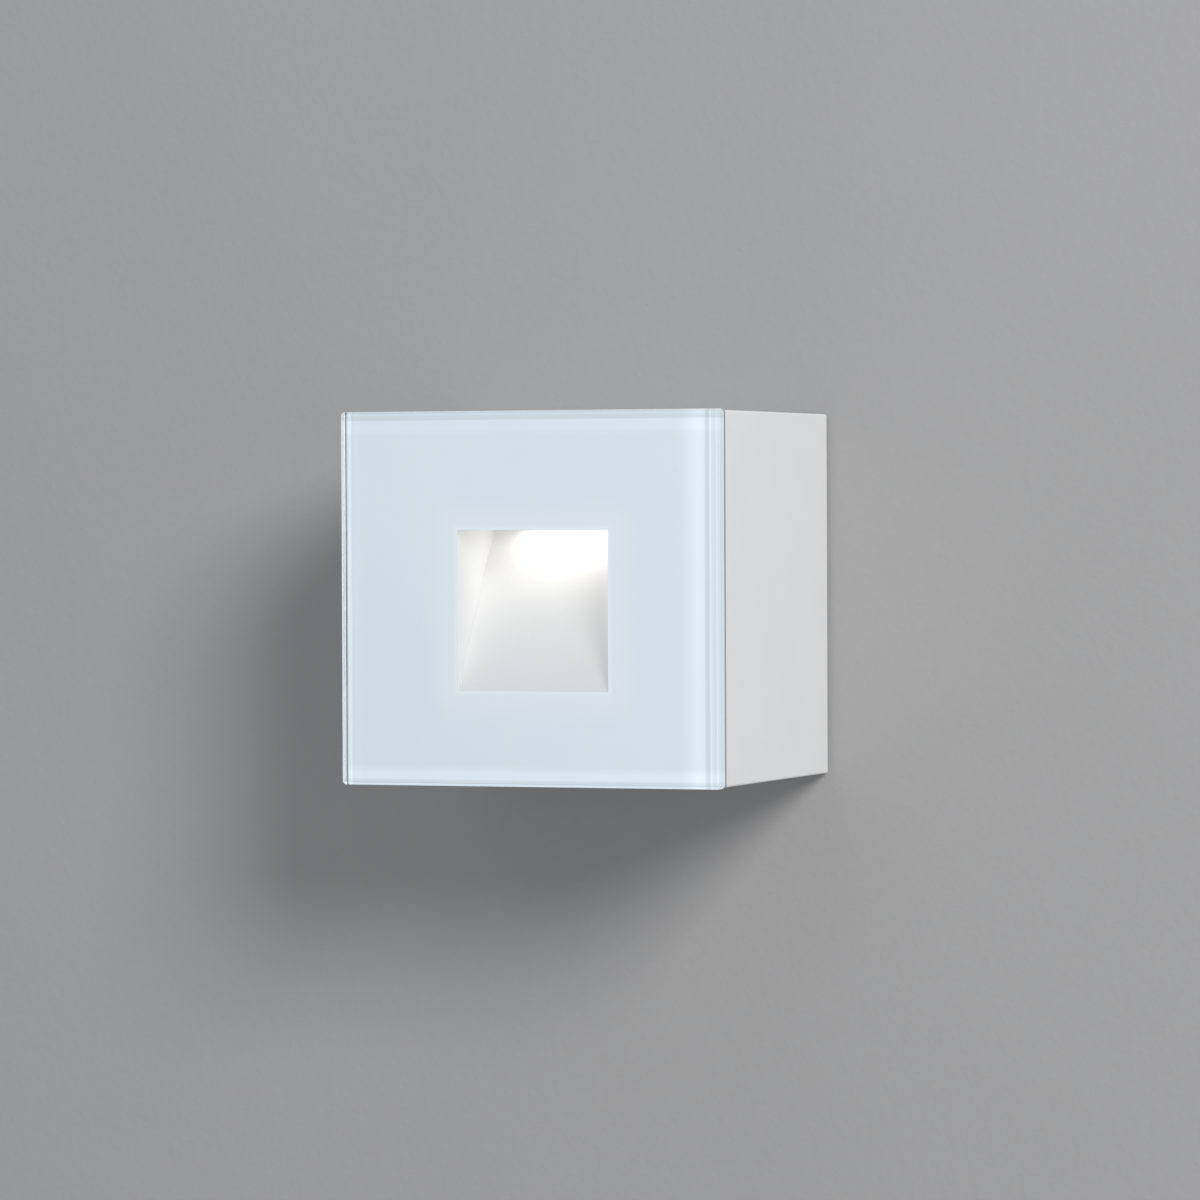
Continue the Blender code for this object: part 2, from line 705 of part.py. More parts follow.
def light_source(group):
    top = RECESS_TOP + SHEET + GAP
    half_x, half_y, thick = DIFFUSER
    outline = rounded_rectangle(half_x, half_y, DIFFUSER_CORNER, 2)
    bm = add_prism(bmesh.new(), outline, "Z", 0, thick)
    add_piece("diffuser", bm, "opal_diffuser", group, (0, LED_Y, top))
    chip = LED_SIZE / 2
    for number in (1, 2, 3):
        outline = rounded_rectangle(chip, chip, LED_CORNER, 2)
        bm = add_prism(bmesh.new(), outline, "Z", -LED_RISE, 0)
        spot = ((number - 2) * LED_PITCH, LED_Y, BOARD_Z[0] - GAP)
        add_piece("led_" + str(number), bm, "phosphor", group, spot)
    flat_pieces = (
        ("led_board", BOARD_Z, 0.0, "board_white"),
        ("thermal_pad", PAD_Z, GAP, "thermal_grey"),
    )
    for name, (low, high), inset, finish in flat_pieces:
        bm = add_block(
            bmesh.new(),
            (-BOARD_X + inset, BOARD_Y[0] + inset, low),
            (BOARD_X - inset, BOARD_Y[1] - inset, high),
        )
        piece = add_piece(name, bm, finish, group)
        cut(piece, board_screw_holes(M3_CLEAR, low, high), "screw_holes")
    low = (-CONNECTOR_X, CONNECTOR_Y[0], CONNECTOR_BOTTOM)
    high = (CONNECTOR_X, CONNECTOR_Y[1], BOARD_Z[0] - GAP)
    add_piece("led_connector", add_block(bmesh.new(), low, high), "terminal_plastic", group)
    led_bracket(group)
    for number, side in ((1, -1), (2, 1)):
        spot = (side * BOARD_SCREW_X, LED_Y, BOARD_Z[0] - GAP)
        name = "led_board_screw_" + str(number)
        add_piece(name, pan_screw(M3, BOARD_SCREW_LENGTH), "stainless", group, spot, DOWN_FACING)
        spot = (side * ANGLE_SCREW[0], BULKHEAD_FRONT - 2 * GAP - ANGLE_THICK, ANGLE_SCREW[1])
        name = "led_bracket_screw_" + str(number)
        add_piece(name, pan_screw(M3, ANGLE_SCREW_LENGTH), "stainless", group, spot, FRONT_FACING)


def board_screw_holes(radius, low, high):
    bm = bmesh.new()
    for side in (-1, 1):
        add_cylinder(bm, "Z", (side * BOARD_SCREW_X, LED_Y), low - 1, high + 1, radius, 12)
    return bm


def led_bracket(group):
    """Aluminium angle that carries the board and takes its heat to the bulkhead."""
    rear = BULKHEAD_FRONT - GAP
    outline = [
        (ANGLE_FRONT, ANGLE_Z),
        (rear, ANGLE_Z),
        (rear, ANGLE_TOP),
        (rear - ANGLE_THICK, ANGLE_TOP),
        (rear - ANGLE_THICK, ANGLE_Z + ANGLE_THICK),
        (ANGLE_FRONT, ANGLE_Z + ANGLE_THICK),
    ]
    bm = add_prism(bmesh.new(), outline, "X", -BOARD_X, BOARD_X)
    piece = add_piece("led_bracket", bm, "bare_aluminium", group)
    holes = board_screw_holes(M3_TAPPED, ANGLE_Z, ANGLE_Z + ANGLE_THICK)
    for side in (-1, 1):
        spot = (side * ANGLE_SCREW[0], ANGLE_SCREW[1])
        add_cylinder(holes, "Y", spot, rear - ANGLE_THICK - 1, rear + 1, M3_CLEAR, 12)
    cut(piece, holes, "screw_holes")


# Driver


def driver(group):
    low_z, high_z = DRIVER_Z
    inner_x = DRIVER_X - DRIVER_WALL
    floor = DRIVER_BACK - DRIVER_WALL
    middle_z = EAR_SCREW[1]
    bm = add_block(bmesh.new(), (-DRIVER_X, DRIVER_FRONT, low_z), (DRIVER_X, DRIVER_BACK, high_z))
    case = add_piece("driver_case", bm, "driver_plastic", group)
    hollow = add_block(
        bmesh.new(),
        (-inner_x, DRIVER_FRONT - 1, low_z + DRIVER_WALL),
        (inner_x, floor, high_z - DRIVER_WALL),
    )
    cut(case, hollow, "hollow")
    extras = bmesh.new()
    for side in (-1, 1):
        ends = sorted((side * (DRIVER_X - DRIVER_WALL / 2), side * EAR_X))
        add_block(
            extras,
            (ends[0], DRIVER_BACK - EAR_THICK, middle_z - EAR_HALF),
            (ends[1], DRIVER_BACK, middle_z + EAR_HALF),
        )
        rib = sorted((side * RIB_X[0], side * RIB_X[1]))
        add_block(
            extras,
            (rib[0], floor - RIB_RISE, low_z + RIB_INSET),
            (rib[1], floor + DRIVER_WALL / 2, high_z - RIB_INSET),
        )
    join(case, extras, "ears_and_ribs")
    holes = bmesh.new()
    lead_x, lead_y, lead_radius = LED_LEAD_HOLE
    for side in (-1, 1):
        spot = (side * EAR_SCREW[0], middle_z)
        add_cylinder(holes, "Y", spot, DRIVER_BACK - EAR_THICK - 1, DRIVER_BACK + 1, M3_CLEAR, 12)
        spot = (side * lead_x, lead_y)
        add_cylinder(holes, "Z", spot, high_z - DRIVER_WALL - 1, high_z + 1, lead_radius, 12)
    for y in MAINS_HOLE_Y:
        spot = (y, MAINS_HOLE_Z)
        add_cylinder(holes, "X", spot, inner_x - 1, DRIVER_X + 1, MAINS_HOLE_RADIUS, 12)
    cut(case, holes, "holes")

    lid_middle = (low_z + high_z) / 2
    outline = rounded_rectangle(DRIVER_X, (high_z - low_z) / 2, LID_CORNER, 2)
    bm = add_prism(bmesh.new(), outline, "Y", -DRIVER_LID, 0)
    add_piece("driver_lid", bm, "driver_plastic", group, (0, DRIVER_FRONT - GAP, lid_middle))
    board_back = floor - CIRCUIT_RISE
    board_front = board_back - CIRCUIT_THICK
    low = (-CIRCUIT_X, board_front, low_z + CIRCUIT_INSET)
    high = (CIRCUIT_X, board_back, high_z - CIRCUIT_INSET)
    add_piece("driver_board", add_block(bmesh.new(), low, high), "board_green", group)
    parts_back = board_front - GAP
    high = (TRANSFORMER_HIGH[0], parts_back, TRANSFORMER_HIGH[1])
    bm = add_block(bmesh.new(), TRANSFORMER_LOW, high)
    bmesh.ops.bevel(bm, geom=bm.edges[:], offset=TRANSFORMER_EDGE, segments=1, affect="EDGES")
    add_piece("driver_transformer", bm, "ferrite", group)
    wide, narrow = CAPACITOR_RADII
    profile = ((wide, parts_back), (wide, CAPACITOR_Y[0]), (narrow, CAPACITOR_Y[1]))
    rings = [[along("Y", y, x, z) for x, z in circle(radius, CAPACITOR)] for radius, y in profile]
    add_piece("driver_capacitor", add_loft(bmesh.new(), rings), "capacitor_sleeve", group)
    for number, side in ((1, -1), (2, 1)):
        spot = (side * EAR_SCREW[0], DRIVER_BACK - EAR_THICK - GAP, middle_z)
        name = "driver_screw_" + str(number)
        add_piece(name, pan_screw(M3, EAR_SCREW_LENGTH), "stainless", group, spot, FRONT_FACING)


# Connections in the rear chamber


def terminal_block(group):
    """Three poles, each a tower with a screw at both ends, on a common base."""
    half = POLE_PITCH + POLE_WIDTH / 2 + BLOCK_END
    front = BULKHEAD_REAR + GAP
    outline = [(half, front), (half, BLOCK_BACK)]
    for pole in (1, 0, -1):
        right, left = pole * POLE_PITCH + POLE_WIDTH / 2, pole * POLE_PITCH - POLE_WIDTH / 2
        outline += [(right, BLOCK_BACK), (right, TOWER_BACK), (left, TOWER_BACK), (left, BLOCK_BACK)]
    outline += [(-half, BLOCK_BACK), (-half, front)]
    bm = add_prism(bmesh.new(), outline, "Z", *BLOCK_Z)
    piece = add_piece("terminal_block", bm, "terminal_plastic", group)
    holes = bmesh.new()
    middle_z = sum(BLOCK_Z) / 2
    wire_radius, wire_depth = WIRE_HOLE
    well_radius, well_bottom = SCREW_WELL
    for pole in (-1, 0, 1):
        x = pole * POLE_PITCH
        spot = (x, WIRE_Y)
        add_cylinder(holes, "Z", spot, BLOCK_Z[0] - 1, BLOCK_Z[0] + wire_depth, wire_radius, 12)
        add_cylinder(holes, "Z", spot, BLOCK_Z[1] - wire_depth, BLOCK_Z[1] + 1, wire_radius, 12)
        for offset in (-SCREW_OFFSET, SCREW_OFFSET):
            spot = (x, middle_z + offset)
            add_cylinder(holes, "Y", spot, well_bottom, TOWER_BACK + 1, well_radius, 12)
    for side in (-1, 1):
        spot = (side * POLE_PITCH / 2, middle_z)
        add_cylinder(holes, "Y", spot, front - 1, BLOCK_BACK + 1, M3_CLEAR, 12)
    cut(piece, holes, "holes")

    number = 1
    radius, end_radius, taper, length = POLE_SCREW
    profile = [(radius, 0), (radius, taper), (end_radius, length)]
    slit_reach, slit_half, slit_depth = POLE_SCREW_SLIT
    for pole in (-1, 0, 1):
        for offset in (-SCREW_OFFSET, SCREW_OFFSET):
            slit = slit_outline(slit_reach, slit_half)
            bm = add_screw(bmesh.new(), profile, slit, slit_depth)
            spot = (pole * POLE_PITCH, POLE_SCREW_FOOT, middle_z + offset)
            add_piece("terminal_screw_" + str(number), bm, "brass", group, spot, REAR_FACING)
            number += 1
    for number, side in ((1, -1), (2, 1)):
        spot = (side * POLE_PITCH / 2, BLOCK_BACK + GAP, middle_z)
        name = "terminal_fixing_" + str(number)
        add_piece(name, pan_screw(M3, FIXING_LENGTH), "stainless", group, spot, REAR_FACING)


def earth_connection(group):
    """Ring terminal, washer and screw on the boss of the housing."""
    ring_front = EARTH_BOSS + GAP
    ring_back = ring_front + RING_THICK
    first = math.acos(RING_NECK / RING_RADIUS)
    arc = [math.pi - first + (math.pi + 2 * first) * step / 14 for step in range(15)]
    outline = [(RING_RADIUS * math.cos(a), RING_RADIUS * math.sin(a)) for a in arc]
    outline += [(RING_NECK, RING_REACH), (-RING_NECK, RING_REACH)]
    outline = [(EARTH[0] + x, EARTH[1] + z) for x, z in outline]
    bm = add_prism(bmesh.new(), outline, "Y", ring_front, ring_back)
    piece = add_piece("earth_ring", bm, "tinned_copper", group)
    hole = add_cylinder(bmesh.new(), "Y", EARTH, ring_front - 1, ring_back + 1, RING_HOLE)
    cut(piece, hole, "hole")

    washer_front = ring_back + GAP
    washer_back = washer_front + WASHER_THICK
    section = [
        (RING_HOLE, washer_front),
        (WASHER_RADIUS, washer_front),
        (WASHER_RADIUS, washer_back),
        (RING_HOLE, washer_back),
    ]
    bm = add_revolved_ring(bmesh.new(), section, EARTH, 16)
    add_piece("earth_washer", bm, "stainless", group)
    spot = (EARTH[0], washer_back + GAP, EARTH[1])
    bm = pan_screw(M4, EARTH_SCREW_LENGTH)
    add_piece("earth_screw", bm, "stainless", group, spot, REAR_FACING)


def cable_grommet(group):
    groove = GROMMET_RADIUS - GAP
    front, rear = BULKHEAD_FRONT - GAP, BULKHEAD_REAR + GAP
    section = [
        (GROMMET_INSIDE, front - GROMMET_RISE),
        (GROMMET_LIP, front - GROMMET_RISE),
        (GROMMET_LIP, front),
        (groove, front),
        (groove, rear),
        (GROMMET_LIP, rear),
        (GROMMET_LIP, rear + GROMMET_RISE),
        (GROMMET_INSIDE, rear + GROMMET_RISE),
    ]
    bm = add_revolved_ring(bmesh.new(), section, GROMMET)
    add_piece("cable_grommet", bm, "black_rubber", group)


def smooth_route(points, steps=4):
    """Points along a Catmull-Rom curve through the given ones."""
    padded = [points[0], *points, points[-1]]
    route = []
    for before, start, end, after in zip(padded, padded[1:], padded[2:], padded[3:]):
        for step in range(steps):
            t = step / steps
            route.append(
                start
                + (end - before) * (t / 2)
                + (before * 2 - start * 5 + end * 4 - after) * (t * t / 2)
                + (start * 3 - before - end * 3 + after) * (t * t * t / 2)
            )
    return route + [points[-1]]


def add_lead(name, points, radius, finish, group):
    route = smooth_route([Vector(point) * MM for point in points])
    curve = bpy.data.curves.new(name, "CURVE")
    curve.dimensions = "3D"
    curve.bevel_depth = radius * MM
    curve.bevel_resolution = 2
    curve.use_fill_caps = True
    spline = curve.splines.new("POLY")
    spline.points.add(len(route) - 1)
    for point, spot in zip(spline.points, route):
        point.co = (*spot, 1.0)
    curve.materials.append(bpy.data.materials[finish])
    link_object(name, curve, group=group)


def leads(group):
    wire_top = BLOCK_Z[1]
    live_arch = [(18.0, -15.5, 27.0), (27.0, -15.0, 17.0)]
    neutral_arch = [(7.0, -15.0, 31.0), (20.0, -14.0, 31.0), (31.0, -13.5, 19.0)]
    for name, pole, side, case_y, arch, finish in (
        ("live_lead", 1, -1, MAINS_HOLE_Y[0], live_arch, "brown_lead"),
        ("neutral_lead", 0, 1, MAINS_HOLE_Y[1], neutral_arch, "blue_lead"),
    ):
        shift = side * MAINS_LEAD_SHIFT
        x, hole_x = pole * POLE_PITCH, GROMMET[0] + shift
        points = [
            (x, WIRE_Y, wire_top - 5),
            (x, WIRE_Y, wire_top + 2),
            *arch,
            (hole_x, WIRE_Y + 1.5, 3),
            (hole_x, -19.5, GROMMET[1] + 0.4),
            (hole_x, -23.0, GROMMET[1]),
            (hole_x, -28.5, GROMMET[1] - 0.4),
            (33.0 + shift, case_y + 1, -11.5),
            (29.5, case_y, MAINS_HOLE_Z),
            (26.0, case_y, MAINS_HOLE_Z),
        ]
        add_lead(name, points, MAINS_LEAD_RADIUS, finish, group)
    earth_x, earth_z = EARTH
    points = [
        (earth_x, EARTH_BOSS + GAP + 0.4, earth_z + 12.7),
        (earth_x, EARTH_BOSS + 1.2, earth_z + 16),
        (earth_x + 5, -16.0, 32.0),
        (-POLE_PITCH - 4, -16.0, 31.5),
        (-POLE_PITCH, WIRE_Y, wire_top + 3),
        (-POLE_PITCH, WIRE_Y, wire_top - 5),
    ]
    add_lead("earth_lead", points, MAINS_LEAD_RADIUS, "earth_lead", group)
    for name, side, finish in (("led_lead_red", 1, "red_lead"), ("led_lead_black", -1, "black_lead")):
        lead_x, lead_y, _ = LED_LEAD_HOLE
        points = [
            (side * 1.2, CONNECTOR_Y[1] + GAP, 20.6),
            (side * 1.2, -45.5, 20.3),
            (side * 1.6, -42.0, 15.5),
            (side * 2.4, -39.0, 8.0),
            (side * lead_x, -37.0, 0.0),
            (side * lead_x, lead_y, -6.0),
            (side * lead_x, lead_y, -11.0),
        ]
        add_lead(name, points, LED_LEAD_RADIUS, finish, group)


def main():
    clear_scene()
    make_finishes()
    bracket = make_group("bracket_group")
    wall_bracket(bracket)
    bracket_grommet(bracket)
    lamp = make_group("lamp_body_group")
    lamp.parent = bracket
    housing(lamp)
    wall_gasket(lamp)
    clamp_screws(lamp)
    front_glass(lamp)
    enamel_mask(lamp)
    glass_seal(lamp)
    reflector(lamp)
    reflector_screws(lamp)
    light_source(lamp)
    driver(lamp)
    terminal_block(lamp)
    earth_connection(lamp)
    cable_grommet(lamp)
    leads(lamp)


main()
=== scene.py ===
import bmesh
import bpy
import math
from mathutils import Matrix, Vector


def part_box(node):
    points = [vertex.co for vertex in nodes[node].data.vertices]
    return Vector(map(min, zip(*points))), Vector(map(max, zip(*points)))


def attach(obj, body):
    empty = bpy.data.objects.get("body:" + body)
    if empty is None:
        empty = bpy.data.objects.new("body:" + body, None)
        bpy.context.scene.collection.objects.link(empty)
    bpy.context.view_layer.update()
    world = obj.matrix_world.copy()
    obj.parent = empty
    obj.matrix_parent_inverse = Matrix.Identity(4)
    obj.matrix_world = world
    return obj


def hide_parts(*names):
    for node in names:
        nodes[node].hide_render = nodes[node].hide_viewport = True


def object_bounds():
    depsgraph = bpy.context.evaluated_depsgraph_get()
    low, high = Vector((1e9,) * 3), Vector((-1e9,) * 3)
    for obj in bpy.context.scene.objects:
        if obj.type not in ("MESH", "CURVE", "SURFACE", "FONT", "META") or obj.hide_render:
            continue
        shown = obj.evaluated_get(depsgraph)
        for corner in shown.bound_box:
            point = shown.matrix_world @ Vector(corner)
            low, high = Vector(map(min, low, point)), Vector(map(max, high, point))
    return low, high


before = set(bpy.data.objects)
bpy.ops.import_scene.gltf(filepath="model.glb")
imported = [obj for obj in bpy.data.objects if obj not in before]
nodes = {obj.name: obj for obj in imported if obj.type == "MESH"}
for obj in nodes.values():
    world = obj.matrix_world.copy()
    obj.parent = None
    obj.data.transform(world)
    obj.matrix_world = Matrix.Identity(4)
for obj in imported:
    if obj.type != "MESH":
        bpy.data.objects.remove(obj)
cadLow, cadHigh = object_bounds()
mm = 0.001
angles = {"flat": 0.5, "bevel": 30, "sharp": 35}  # in degrees
scene = bpy.context.scene


# small tools for meshes


def boxOf(node):
    low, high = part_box(node)
    return low / mm, high / mm


def point(axis, run, u, v):
    return {"X": Vector((run, u, v)), "Y": Vector((u, run, v)), "Z": Vector((u, v, run))}[axis]


def loft(bm, rings, closed=False, capped=True):
    rows = [[bm.verts.new(spot) for spot in ring] for ring in rings]
    pairs = list(zip(rows, rows[1:]))
    if closed:
        pairs.append((rows[-1], rows[0]))
    elif capped:
        bm.faces.new(rows[0])
        bm.faces.new(rows[-1])
    for lower, upper in pairs:
        for index, corner in enumerate(lower):
            after = (index + 1) % len(lower)
            bm.faces.new((corner, lower[after], upper[after], upper[index]))
    return bm


def prism(bm, outline, axis, start, end):
    return loft(bm, [[point(axis, run, u, v) for u, v in outline] for run in (start, end)])


def block(bm, low, high):
    corners = [(low[1], low[2]), (high[1], low[2]), (high[1], high[2]), (low[1], high[2])]
    return prism(bm, corners, "X", low[0], high[0])


def circle(radius, centre=(0, 0), sides=48, start=0.0):
    turns = [start + 2 * math.pi * step / sides for step in range(sides)]
    return [(centre[0] + radius * math.cos(a), centre[1] + radius * math.sin(a)) for a in turns]


def cylinder(bm, axis, centre, start, end, radius, sides=48):
    return prism(bm, circle(radius, centre, sides), axis, start, end)


def turned(bm, section, centre, sides):
    # a closed section of (radius, y) points, turned about a line along y into a ring
    rings = [[point("Y", run, u, v) for u, v in circle(r, centre, sides)] for r, run in section]
    return loft(bm, rings, closed=True)


def roundedBox(halfU, halfV, radius, steps=8, centre=(0, 0)):
    outline = []
    for quarter, (signU, signV) in enumerate(((1, 1), (-1, 1), (-1, -1), (1, -1))):
        u, v = centre[0] + signU * (halfU - radius), centre[1] + signV * (halfV - radius)
        for step in range(steps + 1):
            angle = math.pi / 2 * (quarter + step / steps)
            outline.append((u + radius * math.cos(angle), v + radius * math.sin(angle)))
    return outline


def ringsAt(*stations):
    # rings across y from (outline, y) pairs
    return [[point("Y", y, x, z) for x, z in outline] for outline, y in stations]


def roundedRings(halfX, halfZ, corner, stations, steps, least):
    # rings of a rounded rectangle at (inset, y) stations, with corners of the least radius or more
    outlines = [
        (roundedBox(halfX - inset, halfZ - inset, max(corner - inset, least), steps), y)
        for inset, y in stations
    ]
    return ringsAt(*outlines)


def roundEdges(bm, edges, width, segments):
    bmesh.ops.bevel(bm, geom=edges, offset=width, segments=segments, profile=0.5, affect="EDGES")


def slotOutline(centre, width, length, steps=16):
    radius, straight = width / 2, (length - width) / 2
    outline = []
    for end, first in ((1, 0.0), (-1, math.pi)):
        u, v = centre[0], centre[1] + end * straight
        for step in range(steps + 1):
            angle = first + math.pi * step / steps
            outline.append((u + radius * math.cos(angle), v + radius * math.sin(angle)))
    return outline


def addObject(name, mesh):
    piece = bpy.data.objects.new(name, mesh)
    scene.collection.objects.link(piece)
    return piece


def meshFrom(name, bm, sharpAngle=angles["sharp"]):
    bmesh.ops.recalc_face_normals(bm, faces=bm.faces)
    bmesh.ops.scale(bm, vec=(mm, mm, mm), verts=bm.verts)
    mesh = bpy.data.meshes.new(name)
    bm.to_mesh(mesh)
    bm.free()
    mesh.shade_smooth()
    mesh.set_sharp_from_angle(angle=math.radians(sharpAngle))
    return mesh


def applyModifiers(piece):
    view = bpy.context.evaluated_depsgraph_get()
    mesh = bpy.data.meshes.new_from_object(piece.evaluated_get(view))
    piece.modifiers.clear()
    piece.data = mesh


def combine(piece, bm, operation):
    # cuts the shape in bm out of the piece, or joins it on
    helper = addObject("helper", meshFrom("helper", bm))
    modifier = piece.modifiers.new("shape", "BOOLEAN")
    modifier.operation = operation
    modifier.solver = "EXACT"
    modifier.object = helper
    applyModifiers(piece)
    bpy.data.objects.remove(helper, do_unlink=True)


def soften(piece, width, segments=2):
    # small rounded edges, as every moulded, cast or cut piece has
    tidy = bmesh.new()
    tidy.from_mesh(piece.data)
    bmesh.ops.remove_doubles(tidy, verts=tidy.verts, dist=1e-6)
    limit = math.radians(angles["flat"])
    bmesh.ops.dissolve_limit(
        tidy, angle_limit=limit, verts=tidy.verts, edges=tidy.edges, delimit={"SHARP"}
    )
    tidy.to_mesh(piece.data)
    tidy.free()
    modifier = piece.modifiers.new("edges", "BEVEL")
    modifier.width = width * mm
    modifier.segments = segments
    modifier.limit_method = "ANGLE"
    modifier.angle_limit = math.radians(angles["bevel"])
    modifier.use_clamp_overlap = True
    applyModifiers(piece)
    piece.data.shade_smooth()
    piece.data.set_sharp_from_angle(angle=math.radians(angles["sharp"]))


def make(name, bm, sharpAngle=angles["sharp"]):
    return addObject(name, meshFrom(name, bm, sharpAngle))


def steadyNormals(piece):
    # flat faces shade flat right up to their rounded edges
    modifier = piece.modifiers.new("normals", "WEIGHTED_NORMAL")
    modifier.keep_sharp = True
    applyModifiers(piece)


def slotName(finish):
    # the record's slots have the finishes' names, in small letters with underscores
    return "".join("_" + letter.lower() if letter.isupper() else letter for letter in finish)


def settle(piece, finish, body, *replaced):
    # gives the piece its finish, hangs it on its body and hides the CAD nodes it stands for
    steadyNormals(piece)
    piece.data.materials.clear()
    piece.data.materials.append(finishes[finish])
    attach(piece, body)
    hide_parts(*replaced)
    slotName(finish)


# node groups that several finishes share


def addNode(tree, kind, at, **settings):
    node = tree.nodes.new("ShaderNode" + kind)
    node.location = at
    for name, value in settings.items():
        setattr(node, name, value)
    return node


def setInputs(node, values):
    for name, value in values.items():
        node.inputs[name].default_value = value
    return node


def wire(tree, *links):
    # each link is (node, its output, node, its input)
    for giver, output, taker, entry in links:
        tree.links.new(giver.outputs[output], taker.inputs[entry])


def smoothStep(tree, at, start, end):
    node = addNode(tree, "MapRange", at, interpolation_type="SMOOTHSTEP")
    return setInputs(node, {"From Min": start, "From Max": end})


def placeAxes(tree, at, output="Object"):
    # the object's own coordinates, or its map's, split into X, Y and Z
    place = addNode(tree, "TexCoord", at)
    split = addNode(tree, "SeparateXYZ", (at[0] + 200, at[1]))
    wire(tree, (place, output, split, 0))
    return split


def maskOf(group, entry, leave, first, second):
    # the product of two masks, times the group's Amount
    both = addNode(group, "Math", (100, 0), operation="MULTIPLY")
    scaled = addNode(group, "Math", (340, 0), operation="MULTIPLY")
    wire(
        group,
        (first, "Result", both, 0),
        (second, "Result", both, 1),
        (both, 0, scaled, 0),
        (entry, "Amount", scaled, 1),
        (scaled, 0, leave, "Mask"),
    )


def newGroup(name, inputs, outputs):
    group = bpy.data.node_groups.new(name, "ShaderNodeTree")
    for label, kind, value in inputs:
        socket = group.interface.new_socket(label, in_out="INPUT", socket_type="NodeSocket" + kind)
        socket.default_value = value
    for label in outputs:
        group.interface.new_socket(label, in_out="OUTPUT", socket_type="NodeSocketFloat")
    entry = group.nodes.new("NodeGroupInput")
    entry.location = (-900, 0)
    leave = group.nodes.new("NodeGroupOutput")
    leave.location = (700, 0)
    return group, entry, leave


def makeFineGrain():
    # grain of a coat or moulding, stretched along an axis for brushed and rolled metal, and a soft mottle
    group, entry, leave = newGroup(
        "fineGrain",
        (("Scale", "Float", 2500.0), ("Detail", "Float", 3.0), ("Stretch", "Vector", (1, 1, 1))),
        ("Height", "Mottle"),
    )
    place = addNode(group, "TexCoord", (-900, 260))
    stretched = addNode(group, "VectorMath", (-640, 160), operation="MULTIPLY")
    grain = setInputs(addNode(group, "TexNoise", (-380, 160)), {"Roughness": 0.55})
    broad = setInputs(addNode(group, "Math", (-640, -160), operation="MULTIPLY"), {1: 0.03})
    mottle = setInputs(addNode(group, "TexNoise", (-380, -160)), {"Detail": 2.0})
    spread = smoothStep(group, (-120, -160), 0.3, 0.7)
    wire(
        group,
        (place, "Object", stretched, 0),
        (entry, "Stretch", stretched, 1),
        (stretched, 0, grain, "Vector"),
        (entry, "Scale", grain, "Scale"),
        (entry, "Detail", grain, "Detail"),
        (entry, "Scale", broad, 0),
        (broad, 0, mottle, "Scale"),
        (place, "Object", mottle, "Vector"),
        (mottle, "Fac", spread, "Value"),
        (grain, "Fac", leave, "Height"),
        (spread, "Result", leave, "Mottle"),
    )
    return group


def makeEdgeWearAndHighlight():
    # 1 on edges, 0 elsewhere: where a rounded normal leaves the true one, broken up by noise; the
    #                          finishes lay worn colour there, and on the reflector a painted highlight
    group, entry, leave = newGroup(
        "edgeWearAndHighlight",
        (("Width", "Float", 0.0004), ("Breakup", "Float", 900.0), ("Amount", "Float", 0.6)),
        ("Mask",),
    )
    place = addNode(group, "TexCoord", (-900, 260))
    rounded = addNode(group, "Bevel", (-640, 120), samples=4)
    shape = addNode(group, "NewGeometry", (-640, -60))
    likeness = addNode(group, "VectorMath", (-400, 60), operation="DOT_PRODUCT")
    edge = smoothStep(group, (-160, 60), 0.995, 0.80)
    patches = setInputs(addNode(group, "TexNoise", (-400, -240)), {"Detail": 4.0})
    chipped = smoothStep(group, (-160, -240), 0.42, 0.66)
    wire(
        group,
        (entry, "Width", rounded, "Radius"),
        (rounded, "Normal", likeness, 0),
        (shape, "Normal", likeness, 1),
        (likeness, "Value", edge, "Value"),
        (place, "Object", patches, "Vector"),
        (entry, "Breakup", patches, "Scale"),
        (patches, "Fac", chipped, "Value"),
    )
    maskOf(group, entry, leave, edge, chipped)
    return group


def makeDustFilm():
    # thin uneven dust on faces that look up
    group, entry, leave = newGroup(
        "dustFilm", (("Scale", "Float", 700.0), ("Amount", "Float", 0.3)), ("Mask",)
    )
    place = addNode(group, "TexCoord", (-900, 260))
    shape = addNode(group, "NewGeometry", (-640, 120))
    split = addNode(group, "SeparateXYZ", (-400, 120))
    facing = smoothStep(group, (-160, 120), 0.3, 1.0)
    patches = addNode(group, "TexNoise", (-400, -160))
    setInputs(patches, {"Detail": 5.0, "Roughness": 0.65})
    uneven = addNode(group, "MapRange", (-160, -160))
    setInputs(uneven, {"From Min": 0.35, "From Max": 0.75})
    wire(
        group,
        (shape, "Normal", split, 0),
        (split, "Z", facing, "Value"),
        (place, "Object", patches, "Vector"),
        (entry, "Scale", patches, "Scale"),
        (patches, "Fac", uneven, "Value"),
    )
    maskOf(group, entry, leave, facing, uneven)
    return group


